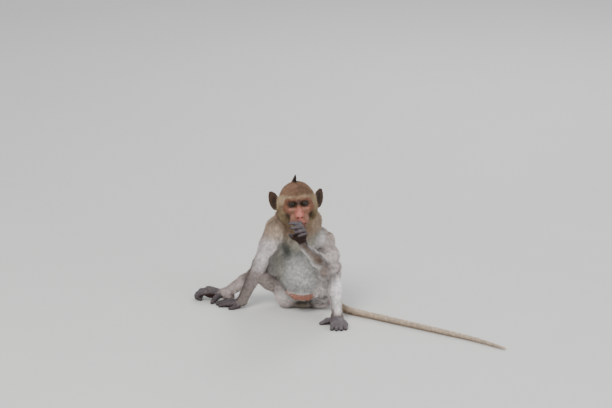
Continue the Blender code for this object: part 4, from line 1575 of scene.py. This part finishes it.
def add_nail(shape, joint, tip, radius):
    """A narrow plate, bowed across and along, on the back of the last bone."""
    joint, tip, size = vector(joint), vector(tip), radius * MM
    way = unit(tip - joint)
    upwards = np.array((0.25, -1.0, 0.45) if tip[2] > 0.1 else (0, -0.35, 1.0))
    up = unit(upwards - way * (upwards @ way))
    across = np.cross(way, up)
    middle = tip + way * radius * 0.35 * MM + up * radius * 0.62 * MM
    for corner in bmesh.ops.create_uvsphere(shape, u_segments=14, v_segments=9, radius=1.0)["verts"]:
        x, y, z = corner.co
        height = z * 0.22 - 0.32 * 0.35 * x * x
        spot = middle + (across * x * 0.56 + way * y * 0.85 + up * height) * size
        spot = spot - up * max(0.0, y) ** 2 * 0.35 * size
        corner.co = Vector(spot)
        corner.co.z = max(corner.co.z, 0.2 * MM)


class MACAQUE_OT_nails(bpy.types.Operator):
    """Lay a narrow curved nail on the end of every finger and toe"""

    bl_idname = "macaque.nails"
    bl_label = "Nails"

    def execute(self, context):
        shape = bmesh.new()
        for joint, tip, radius in NAILS:
            add_nail(shape, joint, tip, radius)
        bmesh.ops.recalc_face_normals(shape, faces=shape.faces)
        shape.verts.index_update()
        corners = [tuple(corner.co) for corner in shape.verts]
        # Sorted, because the sphere's own order of faces changes from run to run.
        faces = sorted(tuple(corner.index for corner in face.verts) for face in shape.faces)
        shape.free()
        mesh = new_mesh("nails", corners, faces)
        mesh.shade_smooth()
        mesh.materials.append(nail_material())
        nails = add_object("nails", mesh)
        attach(nails, "root")
        return {"FINISHED"}


# ---------------------------------------------------------------- the studio


MIDDLE = (0, 0, 0.15)  # what the lamps look at
CAMERA_AIM = (0.009, 0.0, 0.245)


def soft_light(name, place, size, watts, colour):
    """A round lamp that looks at the animal's middle."""
    data = bpy.data.lights.new(name, "AREA")
    data.shape, data.size, data.energy, data.color = "DISK", size, watts, colour
    lamp = add_object(name, data)
    lamp.location = place
    lamp.rotation_euler = (Vector(MIDDLE) - Vector(place)).to_track_quat("-Z", "Y").to_euler()


def studio_floor(tone):
    """A pale, faintly mottled floor that runs far behind the animal."""
    wide, before, behind = 14.0, 9.0, 20.0
    corners = [(-wide, -before, 0), (wide, -before, 0), (wide, behind, 0), (-wide, behind, 0)]
    mesh = new_mesh("floor", corners, [(0, 1, 2, 3)])
    made, tree, shader = new_material("studio floor")
    grain = tree.noise(tree.place(), 3.0, 3.0)
    colour = tree.blend(grain, (*(0.94 * part for part in tone), 1), (*tone, 1))
    tree.give(shader, {"Base Color": colour, "Roughness": 0.8})
    mesh.materials.append(made)
    return add_object("floor", mesh)


def studio_camera(chosen):
    """A long lens from the front and a little above."""
    back = np.array((0, -math.cos(chosen.height), math.sin(chosen.height)))
    data = bpy.data.cameras.new("camera")
    data.sensor_width = 36
    data.lens = 36 * chosen.distance / chosen.breadth
    camera = add_object("camera", data)
    camera.location = np.array(CAMERA_AIM) + back * chosen.distance
    camera.rotation_euler = Vector(-back).to_track_quat("-Z", "Y").to_euler()
    return camera


class MACAQUE_OT_stage(bpy.types.Operator):
    """Set the pale floor, the soft lights and the camera"""

    bl_idname = "macaque.stage"
    bl_label = "Stage"

    def execute(self, context):
        chosen = settings("macaque_stage")
        studio_floor(chosen.floor)
        world = bpy.data.worlds.new("studio")
        world.use_nodes = True
        sky = world.node_tree.nodes["Background"]
        sky.inputs["Color"].default_value = (0.86, 0.90, 0.94, 1)
        sky.inputs["Strength"].default_value = 0.62 * chosen.light
        bpy.context.scene.world = world
        for name, place, size, watts, colour in (
            ("key", (-1.0, -1.9, 2.6), 1.6, 62, (1.0, 0.98, 0.95)),
            ("fill", (2.2, -1.6, 1.2), 1.8, 24, (0.93, 0.96, 1.0)),
            ("rim", (0.8, 2.2, 2.0), 1.4, 26, (1, 1, 1)),
        ):
            soft_light(name, place, size, watts * chosen.light, colour)
        bpy.context.scene.camera = studio_camera(chosen)
        return {"FINISHED"}


# ---------------------------------------------------------------- the add-on

STEPS = (MACAQUE_OT_skin, MACAQUE_OT_eyes, MACAQUE_OT_nails, MACAQUE_OT_coat, MACAQUE_OT_stage)
GROUPS = {
    "macaque_coat": MacaqueCoatSettings, "macaque_skin": MacaqueSkinSettings,
    "macaque_eyes": MacaqueEyeSettings, "macaque_stage": MacaqueStageSettings,
}


class MACAQUE_PT_panel(bpy.types.Panel):
    """All settings, and a button for each step"""

    bl_idname = "MACAQUE_PT_panel"
    bl_label = "Seated macaque"
    bl_space_type = "VIEW_3D"
    bl_region_type = "UI"
    bl_category = "Macaque"

    def draw(self, context):
        for name, group in GROUPS.items():
            box = self.layout.box()
            for key in group.__annotations__:
                box.prop(getattr(context.scene, name), key)
        for step in STEPS:
            self.layout.operator(step.bl_idname)


def register():
    for made in (*GROUPS.values(), *STEPS, MACAQUE_PT_panel):
        bpy.utils.register_class(made)
    for name, group in GROUPS.items():
        setattr(bpy.types.Scene, name, bpy.props.PointerProperty(type=group))


def unregister():
    for name in GROUPS:
        delattr(bpy.types.Scene, name)
    for made in reversed((*GROUPS.values(), *STEPS, MACAQUE_PT_panel)):
        bpy.utils.unregister_class(made)


def main():
    register()
    bpy.ops.macaque.skin()
    bpy.ops.macaque.eyes()
    bpy.ops.macaque.nails()
    bpy.ops.macaque.coat()
    bpy.ops.macaque.stage()


if __name__ == "__main__":
    main()
